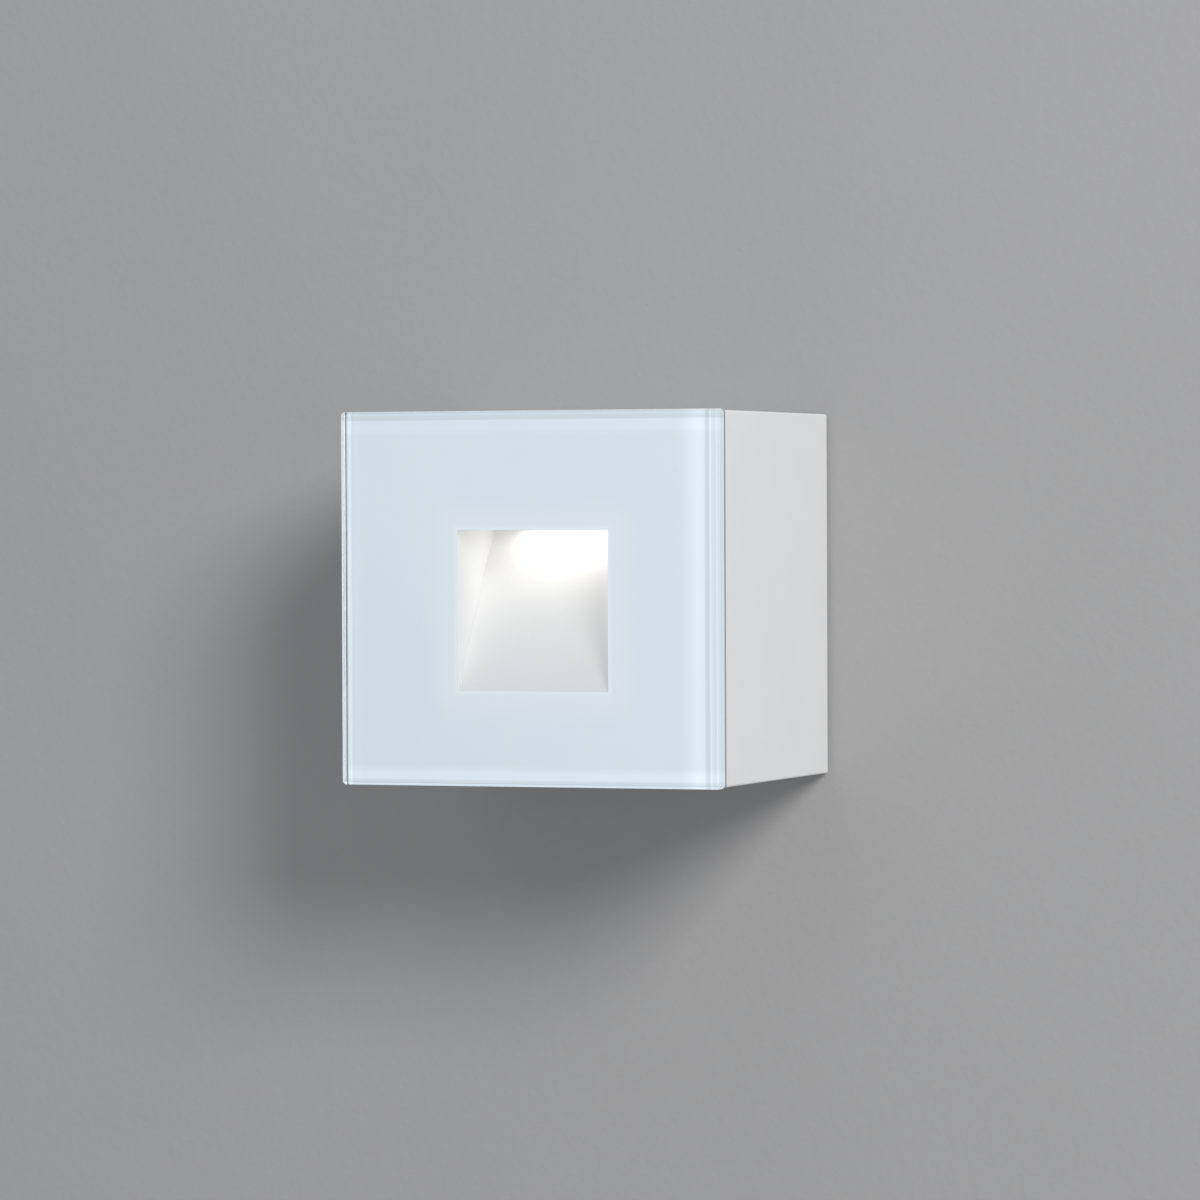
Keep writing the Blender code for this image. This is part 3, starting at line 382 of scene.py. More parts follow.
def makeRectangleDistance():
    # distance in metres from an upright rectangle in the plane of the glass: below 0 inside it
    names = ("Centre X", "Centre Z", "Half Width", "Half Height")
    group, entry, leave = newGroup(
        "rectangleDistance", [(name, "Float", 0.0) for name in names], ("Distance",)
    )
    place = placeAxes(group, (-900, 260))
    larger = addNode(group, "Math", (60, 120), operation="MAXIMUM")
    inside = setInputs(addNode(group, "Math", (240, 120), operation="MINIMUM"), {1: 0.0})
    corner = addNode(group, "CombineXYZ", (240, -120))
    for row, (axis, centre, half) in enumerate(
        (("X", "Centre X", "Half Width"), ("Z", "Centre Z", "Half Height"))
    ):
        shift = addNode(group, "Math", (-500, 160 - 240 * row), operation="SUBTRACT")
        size = addNode(group, "Math", (-320, 160 - 240 * row), operation="ABSOLUTE")
        past = addNode(group, "Math", (-140, 160 - 240 * row), operation="SUBTRACT")
        outside = addNode(group, "Math", (60, -80 - 160 * row), operation="MAXIMUM")
        setInputs(outside, {1: 0.0})
        wire(
            group,
            (place, axis, shift, 0),
            (entry, centre, shift, 1),
            (shift, 0, size, 0),
            (size, 0, past, 0),
            (entry, half, past, 1),
            (past, 0, larger, row),
            (past, 0, outside, 0),
            (outside, 0, corner, row),
        )
    length = addNode(group, "VectorMath", (400, -120), operation="LENGTH")
    total = addNode(group, "Math", (560, 40), operation="ADD")
    wire(
        group,
        (larger, 0, inside, 0),
        (corner, 0, length, 0),
        (inside, 0, total, 0),
        (length, "Value", total, 1),
        (total, 0, leave, "Distance"),
    )
    return group


fineGrain = makeFineGrain()
edgeWearAndHighlight = makeEdgeWearAndHighlight()
dustFilm = makeDustFilm()
rectangleDistance = makeRectangleDistance()
print("node groups made")


# finishes


def newFinish(name):
    finish = bpy.data.materials.new(name)
    finish.use_nodes = True
    tree = finish.node_tree
    return finish, tree, tree.nodes["Principled BSDF"]


def useGroup(tree, group, at, values):
    node = addNode(tree, "Group", at, node_tree=group)
    return setInputs(node, values)


def mixColours(tree, factor, first, second, at):
    # first and second are a colour or an output socket
    node = addNode(tree, "Mix", at, data_type="RGBA")
    tree.links.new(factor, node.inputs["Factor"])
    for value, socket in ((first, node.inputs["A"]), (second, node.inputs["B"])):
        if isinstance(value, tuple):
            socket.default_value = (*value, 1)
        else:
            tree.links.new(value, socket)
    return node.outputs["Result"]


def spreadValue(tree, value, low, high, at, fromMin=0.0, fromMax=1.0, smooth=False):
    node = addNode(tree, "MapRange", at)
    if smooth:
        node.interpolation_type = "SMOOTHSTEP"
    setInputs(node, {"From Min": fromMin, "From Max": fromMax, "To Min": low, "To Max": high})
    tree.links.new(value, node.inputs["Value"])
    return node.outputs["Result"]


def addBump(tree, shader, height, depth):
    bump = setInputs(addNode(tree, "Bump", (-260, -360)), {"Strength": 1.0, "Distance": depth})
    tree.links.new(height, bump.inputs["Height"])
    tree.links.new(bump.outputs["Normal"], shader.inputs["Normal"])


def grainSurface(tree, shader, grain, look):
    # roughness and bump from the grain
    rough = spreadValue(tree, grain.outputs["Height"], *look["roughness"], (-460, -100), 0.3, 0.7)
    tree.links.new(rough, shader.inputs["Roughness"])
    addBump(tree, shader, grain.outputs["Height"], look["depth"])


def layShaders(tree, shader, layers):
    # each layer is (factor, shader node), laid over what comes before it
    last = shader
    for row, (factor, layer) in enumerate(layers):
        mixed = addNode(tree, "MixShader", (300 + 200 * row, 300))
        tree.links.new(factor, mixed.inputs[0])
        wire(tree, (last, 0, mixed, 1), (layer, 0, mixed, 2))
        last = mixed
    leave = tree.nodes["Material Output"]
    leave.location = (900, 300)
    wire(tree, (last, 0, leave, "Surface"))


# what a look doesn't say itself is taken from here
commonLook = {
    "metallic": 0.0,
    "ior": 1.5,
    "coat": 0.0,
    "coatRoughness": 0.1,
    "glow": (0.0, 0.0, 0.0),
    "glowStrength": 0.0,
    "detail": 3.0,
    "stretch": (1, 1, 1),
    "wearAndHighlight": 0.3,
    "wearWidth": 0.0003,
    "wearScale": 1200.0,
    "dust": 0.15,
    "dustScale": 500.0,
    "dustColour": (0.52, 0.50, 0.47),
    # colour of the painted shade and grime in a joint
    "shadeAndGrime": (0.26, 0.28, 0.30),
    "jointFade": 0.05,
}


def coatFinish(name, look):
    # powder coat, moulding, rubber, sleeve or bare metal, by the numbers in look
    look = {**commonLook, **look}
    finish, tree, shader = newFinish(name)
    # a look's glow, where it has one, is painted light: the surface glows though it is no lamp
    values = {
        "Metallic": look["metallic"],
        "IOR": look["ior"],
        "Coat Weight": look["coat"],
        "Coat Roughness": look["coatRoughness"],
        "Emission Color": (*look["glow"], 1),
        "Emission Strength": look["glowStrength"],
    }
    setInputs(shader, values)
    values = {"Scale": look["scale"], "Detail": look["detail"], "Stretch": look["stretch"]}
    grain = useGroup(tree, fineGrain, (-1100, 0), values)
    values = {"Width": look["wearWidth"], "Breakup": look["wearScale"], "Amount": look["wearAndHighlight"]}
    wearAndHighlight = useGroup(tree, edgeWearAndHighlight, (-1100, -260), values)
    values = {"Scale": look["dustScale"], "Amount": look["dust"]}
    dust = useGroup(tree, dustFilm, (-1100, -480), values)
    colour = mixColours(tree, grain.outputs["Mottle"], look["colour"], look["second"], (-820, 160))
    # edges take the worn colour: wear on most finishes, a painted highlight along the reflector's creases
    colour = mixColours(tree, wearAndHighlight.outputs["Mask"], colour, look["wornAndHighlight"], (-600, 160))
    colour = mixColours(tree, dust.outputs["Mask"], colour, look["dustColour"], (-380, 160))
    if "jointBack" in look:
        # painted shade and grime in the joint behind the glass: the housing is darker in a band at its
        # front edge
        place = placeAxes(tree, (-820, 560))
        back = look["jointBack"] * mm
        front = back - look["jointFade"] * mm
        shadeAndGrime = spreadValue(tree, place.outputs["Y"], 1.0, 0.0, (-460, 560), front, back)
        colour = mixColours(tree, shadeAndGrime, colour, look["shadeAndGrime"], (-160, 360))
    rough = spreadValue(tree, grain.outputs["Height"], *look["roughness"], (-600, -100), 0.3, 0.7)
    dusty = addNode(tree, "Math", (-380, -100), operation="ADD", use_clamp=True)
    tree.links.new(colour, shader.inputs["Base Color"])
    tree.links.new(rough, dusty.inputs[0])
    wire(tree, (dust, "Mask", dusty, 1), (dusty, 0, shader, "Roughness"))
    addBump(tree, shader, grain.outputs["Height"], look["depth"])
    return finish


leadGrain = {"roughness": (0.40, 0.52), "scale": 2200.0, "depth": 0.00001}


looks = {
    "powderWhite": {
        # jointBack: where the painted shade and grime of the joint behind the glass begins
        "colour": (0.765, 0.77, 0.775), "second": (0.755, 0.76, 0.765), "jointBack": -79.9,
        "wornAndHighlight": (0.70, 0.70, 0.71), "roughness": (0.60, 0.72), "scale": 2200.0, "depth": 0.000018,
        "wearAndHighlight": 0.25, "dust": 0.05,
    },
    # the reflector's glow is painted light that lifts the shade in the recess
    "reflectorWhite": {
        # its pale worn colour with strong wear is a painted highlight along its creases
        "colour": (0.93, 0.92, 0.91), "second": (0.92, 0.91, 0.90), "wornAndHighlight": (0.98, 0.98, 0.97),
        "glow": (1.0, 0.98, 0.97), "glowStrength": 0.085, "roughness": (0.38, 0.50),
        "scale": 1400.0, "depth": 0.000008, "wearAndHighlight": 0.8, "dust": 0.03,
    },
    "blackRubber": {
        "colour": (0.022, 0.022, 0.023), "second": (0.030, 0.029, 0.028),
        "wornAndHighlight": (0.060, 0.058, 0.056), "roughness": (0.66, 0.86), "scale": 3500.0, "depth": 0.00003,
        "wearAndHighlight": 0.5, "dust": 0.25,
    },
    "zincSteel": {
        "colour": (0.60, 0.61, 0.63), "second": (0.50, 0.515, 0.54), "wornAndHighlight": (0.74, 0.74, 0.74),
        "metallic": 1.0, "roughness": (0.30, 0.46), "scale": 1500.0, "stretch": (1, 1, 0.12),
        "detail": 5.0, "depth": 0.000012, "wearAndHighlight": 0.7, "dust": 0.12,
    },
    "stainless": {
        "colour": (0.62, 0.61, 0.59), "second": (0.54, 0.53, 0.51), "wornAndHighlight": (0.78, 0.77, 0.75),
        "metallic": 1.0, "roughness": (0.20, 0.36), "scale": 4000.0, "depth": 0.000008, "wearAndHighlight": 0.6,
        "dust": 0.08,
    },
    "bareAluminium": {
        "colour": (0.74, 0.75, 0.76), "second": (0.66, 0.67, 0.68), "wornAndHighlight": (0.85, 0.85, 0.86),
        "metallic": 1.0, "roughness": (0.32, 0.48), "scale": 1800.0, "stretch": (0.08, 1, 1),
        "detail": 4.0, "depth": 0.000012, "wearAndHighlight": 0.5,
    },
    "brass": {
        "colour": (0.70, 0.52, 0.24), "second": (0.58, 0.41, 0.18), "wornAndHighlight": (0.85, 0.68, 0.38),
        "metallic": 1.0, "roughness": (0.26, 0.42), "scale": 3500.0, "depth": 0.00001, "wearAndHighlight": 0.6,
    },
    "tinnedCopper": {
        "colour": (0.66, 0.65, 0.62), "second": (0.56, 0.54, 0.50), "wornAndHighlight": (0.72, 0.50, 0.38),
        "metallic": 1.0, "roughness": (0.30, 0.44), "scale": 2600.0, "depth": 0.00001, "wearAndHighlight": 0.5,
    },
    "thermalGrey": {
        "colour": (0.30, 0.33, 0.38), "second": (0.27, 0.30, 0.35), "wornAndHighlight": (0.36, 0.39, 0.44),
        "roughness": (0.62, 0.78), "scale": 3000.0, "depth": 0.00002,
    },
    "driverPlastic": {
        "colour": (0.80, 0.80, 0.77), "second": (0.77, 0.77, 0.74), "wornAndHighlight": (0.86, 0.86, 0.83),
        "roughness": (0.48, 0.62), "scale": 2800.0, "depth": 0.000025,
    },
    "terminalPlastic": {
        "colour": (0.84, 0.82, 0.74), "second": (0.80, 0.78, 0.69), "wornAndHighlight": (0.88, 0.87, 0.81),
        "roughness": (0.36, 0.52), "scale": 2400.0, "depth": 0.000015, "dust": 0.1,
    },
    "boardWhite": {
        "colour": (0.84, 0.85, 0.84), "second": (0.82, 0.83, 0.82), "wornAndHighlight": (0.72, 0.66, 0.52),
        "roughness": (0.30, 0.40), "scale": 3200.0, "depth": 0.000008,
    },
    "boardGreen": {
        "colour": (0.025, 0.16, 0.065), "second": (0.020, 0.12, 0.05), "wornAndHighlight": (0.55, 0.48, 0.28),
        "roughness": (0.30, 0.42), "scale": 2600.0, "depth": 0.000012,
    },
    "ferrite": {
        "colour": (0.060, 0.056, 0.055), "second": (0.085, 0.080, 0.076),
        "wornAndHighlight": (0.15, 0.145, 0.14), "roughness": (0.48, 0.66), "scale": 3000.0, "depth": 0.00003,
    },
    "capacitorSleeve": {
        "colour": (0.030, 0.038, 0.10), "second": (0.024, 0.030, 0.085), "wornAndHighlight": (0.10, 0.11, 0.18),
        "roughness": (0.28, 0.38), "scale": 1600.0, "depth": 0.00001, "coat": 0.3,
    },
    "brownLead": {
        **leadGrain, "colour": (0.13, 0.055, 0.025), "second": (0.11, 0.045, 0.020),
        "wornAndHighlight": (0.20, 0.11, 0.07),
    },
    "blueLead": {
        **leadGrain, "colour": (0.025, 0.12, 0.42), "second": (0.022, 0.10, 0.36),
        "wornAndHighlight": (0.10, 0.22, 0.50),
    },
    "redLead": {
        **leadGrain, "colour": (0.46, 0.025, 0.018), "second": (0.40, 0.020, 0.015),
        "wornAndHighlight": (0.55, 0.12, 0.10),
    },
    "blackLead": {
        **leadGrain, "colour": (0.018, 0.018, 0.019), "second": (0.024, 0.024, 0.025),
        "wornAndHighlight": (0.07, 0.07, 0.07),
    },
}
finishes = {name: coatFinish(name, look) for name, look in looks.items()}

window = {"halfX": 20.0, "halfZ": 20.0, "centreZ": -3.0}


def windowDistance(tree, at):
    # distance from the edge of the print's window, below 0 inside it
    values = {
        "Centre Z": window["centreZ"] * mm,
        "Half Width": window["halfX"] * mm,
        "Half Height": window["halfZ"] * mm,
    }
    return useGroup(tree, rectangleDistance, at, values).outputs[0]


clearGlass = {
    "colour": (0.985, 0.995, 1.0),
    "second": (0.975, 0.99, 0.995),
    "ior": 1.52,
    "roughness": 0.01,
    "waveScale": 60.0,
    "waviness": 0.0000006,
    # what lets light straight through: the whole plate, then its back face for each kind of ray
    "passing": (0.95, 0.97, 0.98),
    "bounceWindow": (1.0, 1.0, 1.0),
    "shadowWindow": (0.28, 0.28, 0.28),
    "back": (-81.3, -81.2),
}


def glassFinish(name, look):
    # clear plate: lamp light and bounced light pass straight on, so what is behind is lit evenly
    finish, tree, shader = newFinish(name)
    values = {"Roughness": look["roughness"], "IOR": look["ior"], "Metallic": 0.0}
    setInputs(shader, {**values, "Transmission Weight": 1.0})
    grain = useGroup(tree, fineGrain, (-900, 0), {"Scale": look["waveScale"], "Detail": 1.0})
    tint = mixColours(tree, grain.outputs["Mottle"], look["colour"], look["second"], (-400, 160))
    tree.links.new(tint, shader.inputs["Base Color"])
    addBump(tree, shader, grain.outputs["Height"], look["waviness"])
    # lamp light is weakened at the back face, so that the recess is lit by its own lamp
    place = placeAxes(tree, (-700, -400))
    start, end = look["back"]
    atBack = spreadValue(tree, place.outputs["Y"], 0.0, 1.0, (-300, -400), start * mm, end * mm)
    rays = addNode(tree, "LightPath", (300, 700))
    layers = []
    for kind, colour in (("Is Diffuse Ray", "bounceWindow"), ("Is Shadow Ray", "shadowWindow")):
        passing = addNode(tree, "BsdfTransparent", (300, -200 * len(layers)))
        passed = mixColours(tree, atBack, look["passing"], look[colour], (100, -200 * len(layers)))
        tree.links.new(passed, passing.inputs["Color"])
        layers.append((rays.outputs[kind], passing))
    layShaders(tree, shader, layers)
    return finish


finishes["clearGlass"] = glassFinish("clearGlass", clearGlass)

whiteEnamel = {
    "colour": (0.695, 0.765, 0.82),
    "second": (0.68, 0.75, 0.81),
    # painted light from the lit recess showing through: the print is lighter near the window and glows
    # faintly at its edge
    "paintedWindowLight": (0.725, 0.785, 0.83),
    "windowReach": 0.009,
    "glow": (0.97, 0.97, 1.0),
    "glowReach": 0.0014,
    "glowStrength": 0.05,
    "scale": 900.0,
    "roughness": (0.30, 0.40),
    "depth": 0.000002,
    # painted light and shade from the polished edges: (distance from the side in mm, share of the base
    # colour)
    "edgeReach": 12.0,
    "paintedEdgeLight": {
        "right": ((0.7, 0.93), (1.6, 1.00), (2.7, 1.03), (3.0, 1.13), (3.3, 1.13), (3.6, 0.92),
                  (4.3, 0.93), (4.9, 1.14), (6.8, 1.16), (8.8, 1.08), (11.5, 1.0)),
        "left": ((0.6, 1.16), (1.4, 1.12), (1.9, 0.97), (2.6, 1.03), (4.5, 1.0)),
        "top": ((0.6, 1.04), (1.1, 0.90), (2.0, 0.90), (2.3, 1.05), (4.4, 1.06), (6.0, 1.0)),
        "bottom": ((0.6, 0.95), (1.2, 0.98), (1.6, 1.11), (3.0, 1.11), (5.0, 1.0)),
    },
    "edgeShare": (0.8, 1.2),
}


def paintedEdgeRamp(tree, axis, half, sign, stops, look, at):
    # painted light and shade: share of the base colour by the distance from one side of the glass
    ramp = addNode(tree, "ValToRGB", at)
    inner = half - look["edgeReach"] * mm
    distance = spreadValue(tree, axis, 0.0, 1.0, (at[0] - 220, at[1]), sign * half, sign * inner)
    low, high = look["edgeShare"]
    marks = ramp.color_ramp.elements
    while len(marks) < len(stops):
        marks.new(0.5)
    for mark, (place, _) in zip(marks, stops):
        mark.position = place / look["edgeReach"]
    for mark, (_, share) in zip(marks, stops):
        grey = (share - low) / (high - low)
        mark.color = (grey, grey, grey, 1)
    tree.links.new(distance, ramp.inputs[0])
    return spreadValue(tree, ramp.outputs["Color"], low, high, (at[0] + 280, at[1]))


def enamelFinish(name, look):
    # print fired on the back of the glass: its rim is painted in lighter and darker bands for light
    # caught by the polished edges, and round the window it is painted lighter and given a faint glow for
    # the lit recess showing through
    finish, tree, shader = newFinish(name)
    _, glassHigh = boxOf("front_glass")
    halves = {"X": glassHigh.x * mm, "Z": glassHigh.z * mm}
    grain = useGroup(tree, fineGrain, (-1500, 0), {"Scale": look["scale"], "Detail": 2.0})
    inner = windowDistance(tree, (-1500, -520))
    # painted light round the window: a lighter colour, and a faint glow
    near = spreadValue(tree, inner, 1.0, 0.0, (-1200, -520), 0.0, look["windowReach"], True)
    glow = spreadValue(tree, inner, 1.0, 0.0, (-1200, -780), 0.0, look["glowReach"], True)
    colour = mixColours(tree, grain.outputs["Mottle"], look["colour"], look["second"], (-900, 200))
    colour = mixColours(tree, near, colour, look["paintedWindowLight"], (-680, 200))
    place = placeAxes(tree, (-1500, 900))
    # painted light and shade in bands along each edge of the glass
    sides = (("right", "X", 1), ("left", "X", -1), ("top", "Z", 1), ("bottom", "Z", -1))
    for row, (side, axis, sign) in enumerate(sides):
        stops, at = look["paintedEdgeLight"][side], (-900, 500 + 260 * row)
        share = paintedEdgeRamp(tree, place.outputs[axis], halves[axis], sign, stops, look, at)
        lit = addNode(tree, "VectorMath", (-460 + 160 * row, 200), operation="SCALE")
        tree.links.new(colour, lit.inputs[0])
        tree.links.new(share, lit.inputs["Scale"])
        colour = lit.outputs[0]
    light = mixColours(tree, glow, (0.0, 0.0, 0.0), look["glow"], (-460, -600))
    tree.links.new(colour, shader.inputs["Base Color"])
    tree.links.new(light, shader.inputs["Emission Color"])
    shader.inputs["Emission Strength"].default_value = look["glowStrength"]
    grainSurface(tree, shader, grain, look)
    return finish


finishes["whiteEnamel"] = enamelFinish("whiteEnamel", whiteEnamel)

glowing = {
    "opalDiffuser": {"colour": (0.93, 0.92, 0.88), "light": (1.0, 0.945, 0.87), "strength": 2.4},
    "phosphor": {"colour": (0.90, 0.72, 0.28), "light": (1.0, 0.93, 0.80), "strength": 6.0},
}

glowingGrain = {"scale": 3000.0, "second": 0.93, "roughness": (0.36, 0.50), "depth": 0.000006}


def glowingFinish(name, look):
    finish, tree, shader = newFinish(name)
    grain = useGroup(tree, fineGrain, (-900, 0), {"Scale": glowingGrain["scale"], "Detail": 2.0})
    second = tuple(glowingGrain["second"] * share for share in look["colour"])
    colour = mixColours(tree, grain.outputs["Mottle"], look["colour"], second, (-460, 160))
    tree.links.new(colour, shader.inputs["Base Color"])
    setInputs(shader, {"Emission Color": (*look["light"], 1), "Emission Strength": look["strength"]})
    grainSurface(tree, shader, grain, glowingGrain)
    return finish


for name, look in glowing.items():
    finishes[name] = glowingFinish(name, look)

earthStripes = {
    **leadGrain,
    "green": (0.03, 0.26, 0.05),
    "yellow": (0.72, 0.60, 0.04),
    "stripe": (0.41, 0.43),  # where yellow ends and green begins, as a share of the way round
}


def stripedFinish(name, look):
    # two colours side by side along the lead, by the tube's own map
    finish, tree, shader = newFinish(name)
    place = placeAxes(tree, (-1100, 200), "UV")
    stripe = spreadValue(tree, place.outputs["X"], 0.0, 1.0, (-700, 200), *look["stripe"])
    grain = useGroup(tree, fineGrain, (-1100, -100), {"Scale": look["scale"], "Detail": 3.0})
    colour = mixColours(tree, stripe, look["yellow"], look["green"], (-460, 160))
    tree.links.new(colour, shader.inputs["Base Color"])
    grainSurface(tree, shader, grain, look)
    return finish


finishes["earthLead"] = stripedFinish("earthLead", earthStripes)
print("finishes made:", len(finishes))


# front: glass, print and seal

frontGlass = {"arris": 0.6, "polish": 0.07, "sharpAngle": 60}


def buildFrontGlass():
    bm = block(bmesh.new(), *boxOf("front_glass"))
    bmesh.ops.bevel(bm, geom=bm.edges[:], offset=frontGlass["arris"], segments=1, affect="EDGES")
    bmesh.ops.bevel(
        bm, geom=bm.edges[:], offset=frontGlass["polish"], segments=2, profile=0.5, affect="EDGES"
    )
    piece = make("frontGlass", bm, frontGlass["sharpAngle"])
    settle(piece, "clearGlass", "lamp_body", "front_glass")


enamelPrint = {
    "inGlass": 0.02,
    "thick": 0.14,
    "inset": 0.35,
    "outerCorner": 0.5,
    "windowCorner": 0.3,
    "sharpAngle": 50,
}


def buildEnamelPrint():
    # it starts a hair inside the plate, so no air shows between the two
    high, inset = boxOf("front_glass")[1], enamelPrint["inset"]
    front = high.y - enamelPrint["inGlass"]
    back = front + enamelPrint["thick"]
    outer = roundedBox(high.x - inset, high.z - inset, enamelPrint["outerCorner"])
    centre = (0, window["centreZ"])
    inner = roundedBox(window["halfX"], window["halfZ"], enamelPrint["windowCorner"], centre=centre)
    rings = ringsAt((outer, front), (outer, back), (inner, back), (inner, front))
    piece = make("enamelPrint", loft(bmesh.new(), rings, closed=True), enamelPrint["sharpAngle"])
    settle(piece, "whiteEnamel", "lamp_body", "enamel_mask")


def ringAround(bm, halfX, halfZ, section, corner):
    # a ring that follows a rounded rectangle; the section holds (inset, y) points
    return loft(bm, roundedRings(halfX, halfZ, corner, section, 8, 0.05), closed=True)


def domedSection(width, base, flat, top, steps=8):
    # from the base up one side, over a round crown and down the other side
    section, half = [(0.0, base)], width / 2
    for step in range(steps + 1):
        angle = math.pi * step / steps
        section.append((half - half * math.cos(angle), flat + (top - flat) * math.sin(angle)))
    return section + [(width, base)]


rubberRings = {
    # width, corner
    "seal": (1.7, 1.2),
    "gasket": (1.1, 1.4),
    "crown": 0.45,
}


def buildRubberRings():
    # the seal is domed towards the glass, the gasket towards the wall
    low, high = boxOf("glass_seal")
    width, corner = rubberRings["seal"]
    section = domedSection(width, high.y, low.y + rubberRings["crown"], low.y)
    piece = make("glassSeal", ringAround(bmesh.new(), high.x, high.z, section, corner))
    settle(piece, "blackRubber", "lamp_body", "glass_seal")
    low, high = boxOf("wall_gasket")
    width, corner = rubberRings["gasket"]
    section = domedSection(width, low.y, high.y - rubberRings["crown"], high.y)
    piece = make("wallGasket", ringAround(bmesh.new(), high.x, high.z, section, corner))
    settle(piece, "blackRubber", "lamp_body", "wall_gasket")


# housing

housing = {
    "wall": 3.5,
    "longEdge": 0.55,
    "rearEdge": 1.0,
    "frontEdge": 0.2,
    "innerCorner": 1.6,
    "rabbetLip": 1.2,
    "rabbetCorner": 0.9,
    "rabbetDepth": 1.5,
    "grooveLip": 0.85,
    "grooveWidth": 1.7,
    "grooveDepth": 1.5,
    "grooveCorner": 1.5,
    "bulkheadFront": -25.0,
    "bulkheadRear": -21.5,
    "post": (42.5, 39.0, 4.0, -76.0),  # x, z, radius, front end
    "postHole": (1.55, -68.0),  # radius, bottom
    "ledBracketHoles": (10.0, 34.5),
    "driverHoles": (31.5, -23.0),
    "terminalHoles": (6.0, 13.5),
    "tapped": 1.55,
    "blindFront": -22.4,
    "blindRear": -23.9,
    "clampY": -9.0,
    "clampBoss": (4.5, 39.9),  # radius, inner end
    "clampHole": 2.2,
    "earth": (-29.0, 12.0),
    "earthBoss": (4.5, -18.5),  # radius, rear end
    "earthHole": 2.0,
    "cableHole": (36.5, -6.0, 5.0),  # x, z, radius
    "countersink": 0.3,
}


def drilled(bm, axis, centre, mouth, bottom, radius, sides=32):
    # a hole with a small countersink at its mouth
    sink = housing["countersink"]
    into = 1 if bottom > mouth else -1
    stations = (
        (radius + sink, mouth - into),
        (radius + sink, mouth),
        (radius, mouth + into * sink),
        (radius, bottom),
    )
    loft(bm, [[point(axis, run, u, v) for u, v in circle(r, centre, sides)] for r, run in stations])


def buildHousing():
    low, high = boxOf("housing")
    halfX, halfZ, front, rear = high.x, high.z, low.y, high.y
    edge, soft = housing["rearEdge"], housing["frontEdge"]
    stations = [(soft, front), (soft * 0.3, front + soft * 0.3), (0, front + soft)]
    for step in range(7):
        angle = math.pi / 2 * step / 6
        stations.append((edge - edge * math.cos(angle), rear - edge + edge * math.sin(angle)))
    rings = roundedRings(halfX, halfZ, housing["longEdge"], stations, 6, 0.06)
    piece = make("housing", loft(bmesh.new(), rings))

    wall, lip, floor = housing["wall"], housing["rabbetLip"], front + housing["rabbetDepth"]
    hollows = bmesh.new()
    outline = roundedBox(halfX - lip, halfZ - lip, housing["rabbetCorner"], 6)
    inner = roundedBox(halfX - wall, halfZ - wall, housing["innerCorner"], 6)
    depths = ((outline, front - 1), (outline, floor), (inner, floor), (inner, housing["bulkheadFront"]))
    loft(hollows, ringsAt(*depths))
    prism(hollows, inner, "Y", housing["bulkheadRear"], rear + 1)
    combine(piece, hollows, "DIFFERENCE")
    near, far = housing["grooveLip"], housing["grooveLip"] + housing["grooveWidth"]
    bottom = rear - housing["grooveDepth"]
    section = ((near, bottom), (near, rear + 1), (far, rear + 1), (far, bottom))
    groove = ringAround(bmesh.new(), halfX, halfZ, section, housing["grooveCorner"])
    combine(piece, groove, "DIFFERENCE")
    combine(piece, housingBosses(halfZ), "UNION")
    combine(piece, housingHoles(halfZ), "DIFFERENCE")
    settle(piece, "powderWhite", "lamp_body", "housing")


def housingBosses(halfZ):
    inBulkhead = (housing["bulkheadFront"] + housing["bulkheadRear"]) / 2
    inWall = halfZ - housing["wall"] / 2
    bm = bmesh.new()
    postX, postZ, radius, end = housing["post"]
    for x in (-postX, postX):
        for z in (-postZ, postZ):
            cylinder(bm, "Y", (x, z), end, inBulkhead, radius, 40)
    radius, end = housing["earthBoss"]
    cylinder(bm, "Y", housing["earth"], inBulkhead, end, radius)
    radius, end = housing["clampBoss"]
    for side in (1, -1):
        cylinder(bm, "Z", (0, housing["clampY"]), side * end, side * inWall, radius)
    return bm


def housingHoles(halfZ):
    bm = bmesh.new()
    postX, postZ, _, end = housing["post"]
    radius, bottom = housing["postHole"]
    for x in (-postX, postX):
        for z in (-postZ, postZ):
            drilled(bm, "Y", (x, z), end, bottom, radius)
    front, rear, tapped = housing["bulkheadFront"], housing["bulkheadRear"], housing["tapped"]
    for x, z in (housing["ledBracketHoles"], housing["driverHoles"]):
        for side in (1, -1):
            drilled(bm, "Y", (side * x, z), front, housing["blindFront"], tapped)
    x, z = housing["terminalHoles"]
    clampEnd = housing["clampBoss"][1] - 1
    for side in (1, -1):
        drilled(bm, "Y", (side * x, z), rear, housing["blindRear"], tapped)
        centre = (0, housing["clampY"])
        drilled(bm, "Z", centre, side * halfZ, side * clampEnd, housing["clampHole"])
    mouth = housing["earthBoss"][1]
    drilled(bm, "Y", housing["earth"], mouth, housing["blindRear"], housing["earthHole"])
    x, z, radius = housing["cableHole"]
    cylinder(bm, "Y", (x, z), front - 1, rear + 1, radius)
    return bm


# reflector: the lit recess behind the window

reflector = {
    "front": -80.72,
    "sill": (-80.35, -22.9),  # y, z
    "top": (-54.4, 17.3),  # y, z
    "halfX": 20.3,
    "bottom": -23.3,
    "fillet": 0.45,
    "sheet": 1.2,
    "backEdge": 0.6,
    "flange": (-77.5, -76.3),  # front, back
    "flangeCorner": 1.4,
    "slot": (12.5, -66.5, -56.0),  # half width, front, back
    "slotCorner": 1.5,
    "screw": (42.5, 39.0, 1.85),  # x, z, radius
}


def slopeY(z):
    (sillY, sillZ), (topY, topZ) = reflector["sill"], reflector["top"]
    return sillY + (topY - sillY) * (z - sillZ) / (topZ - sillZ)


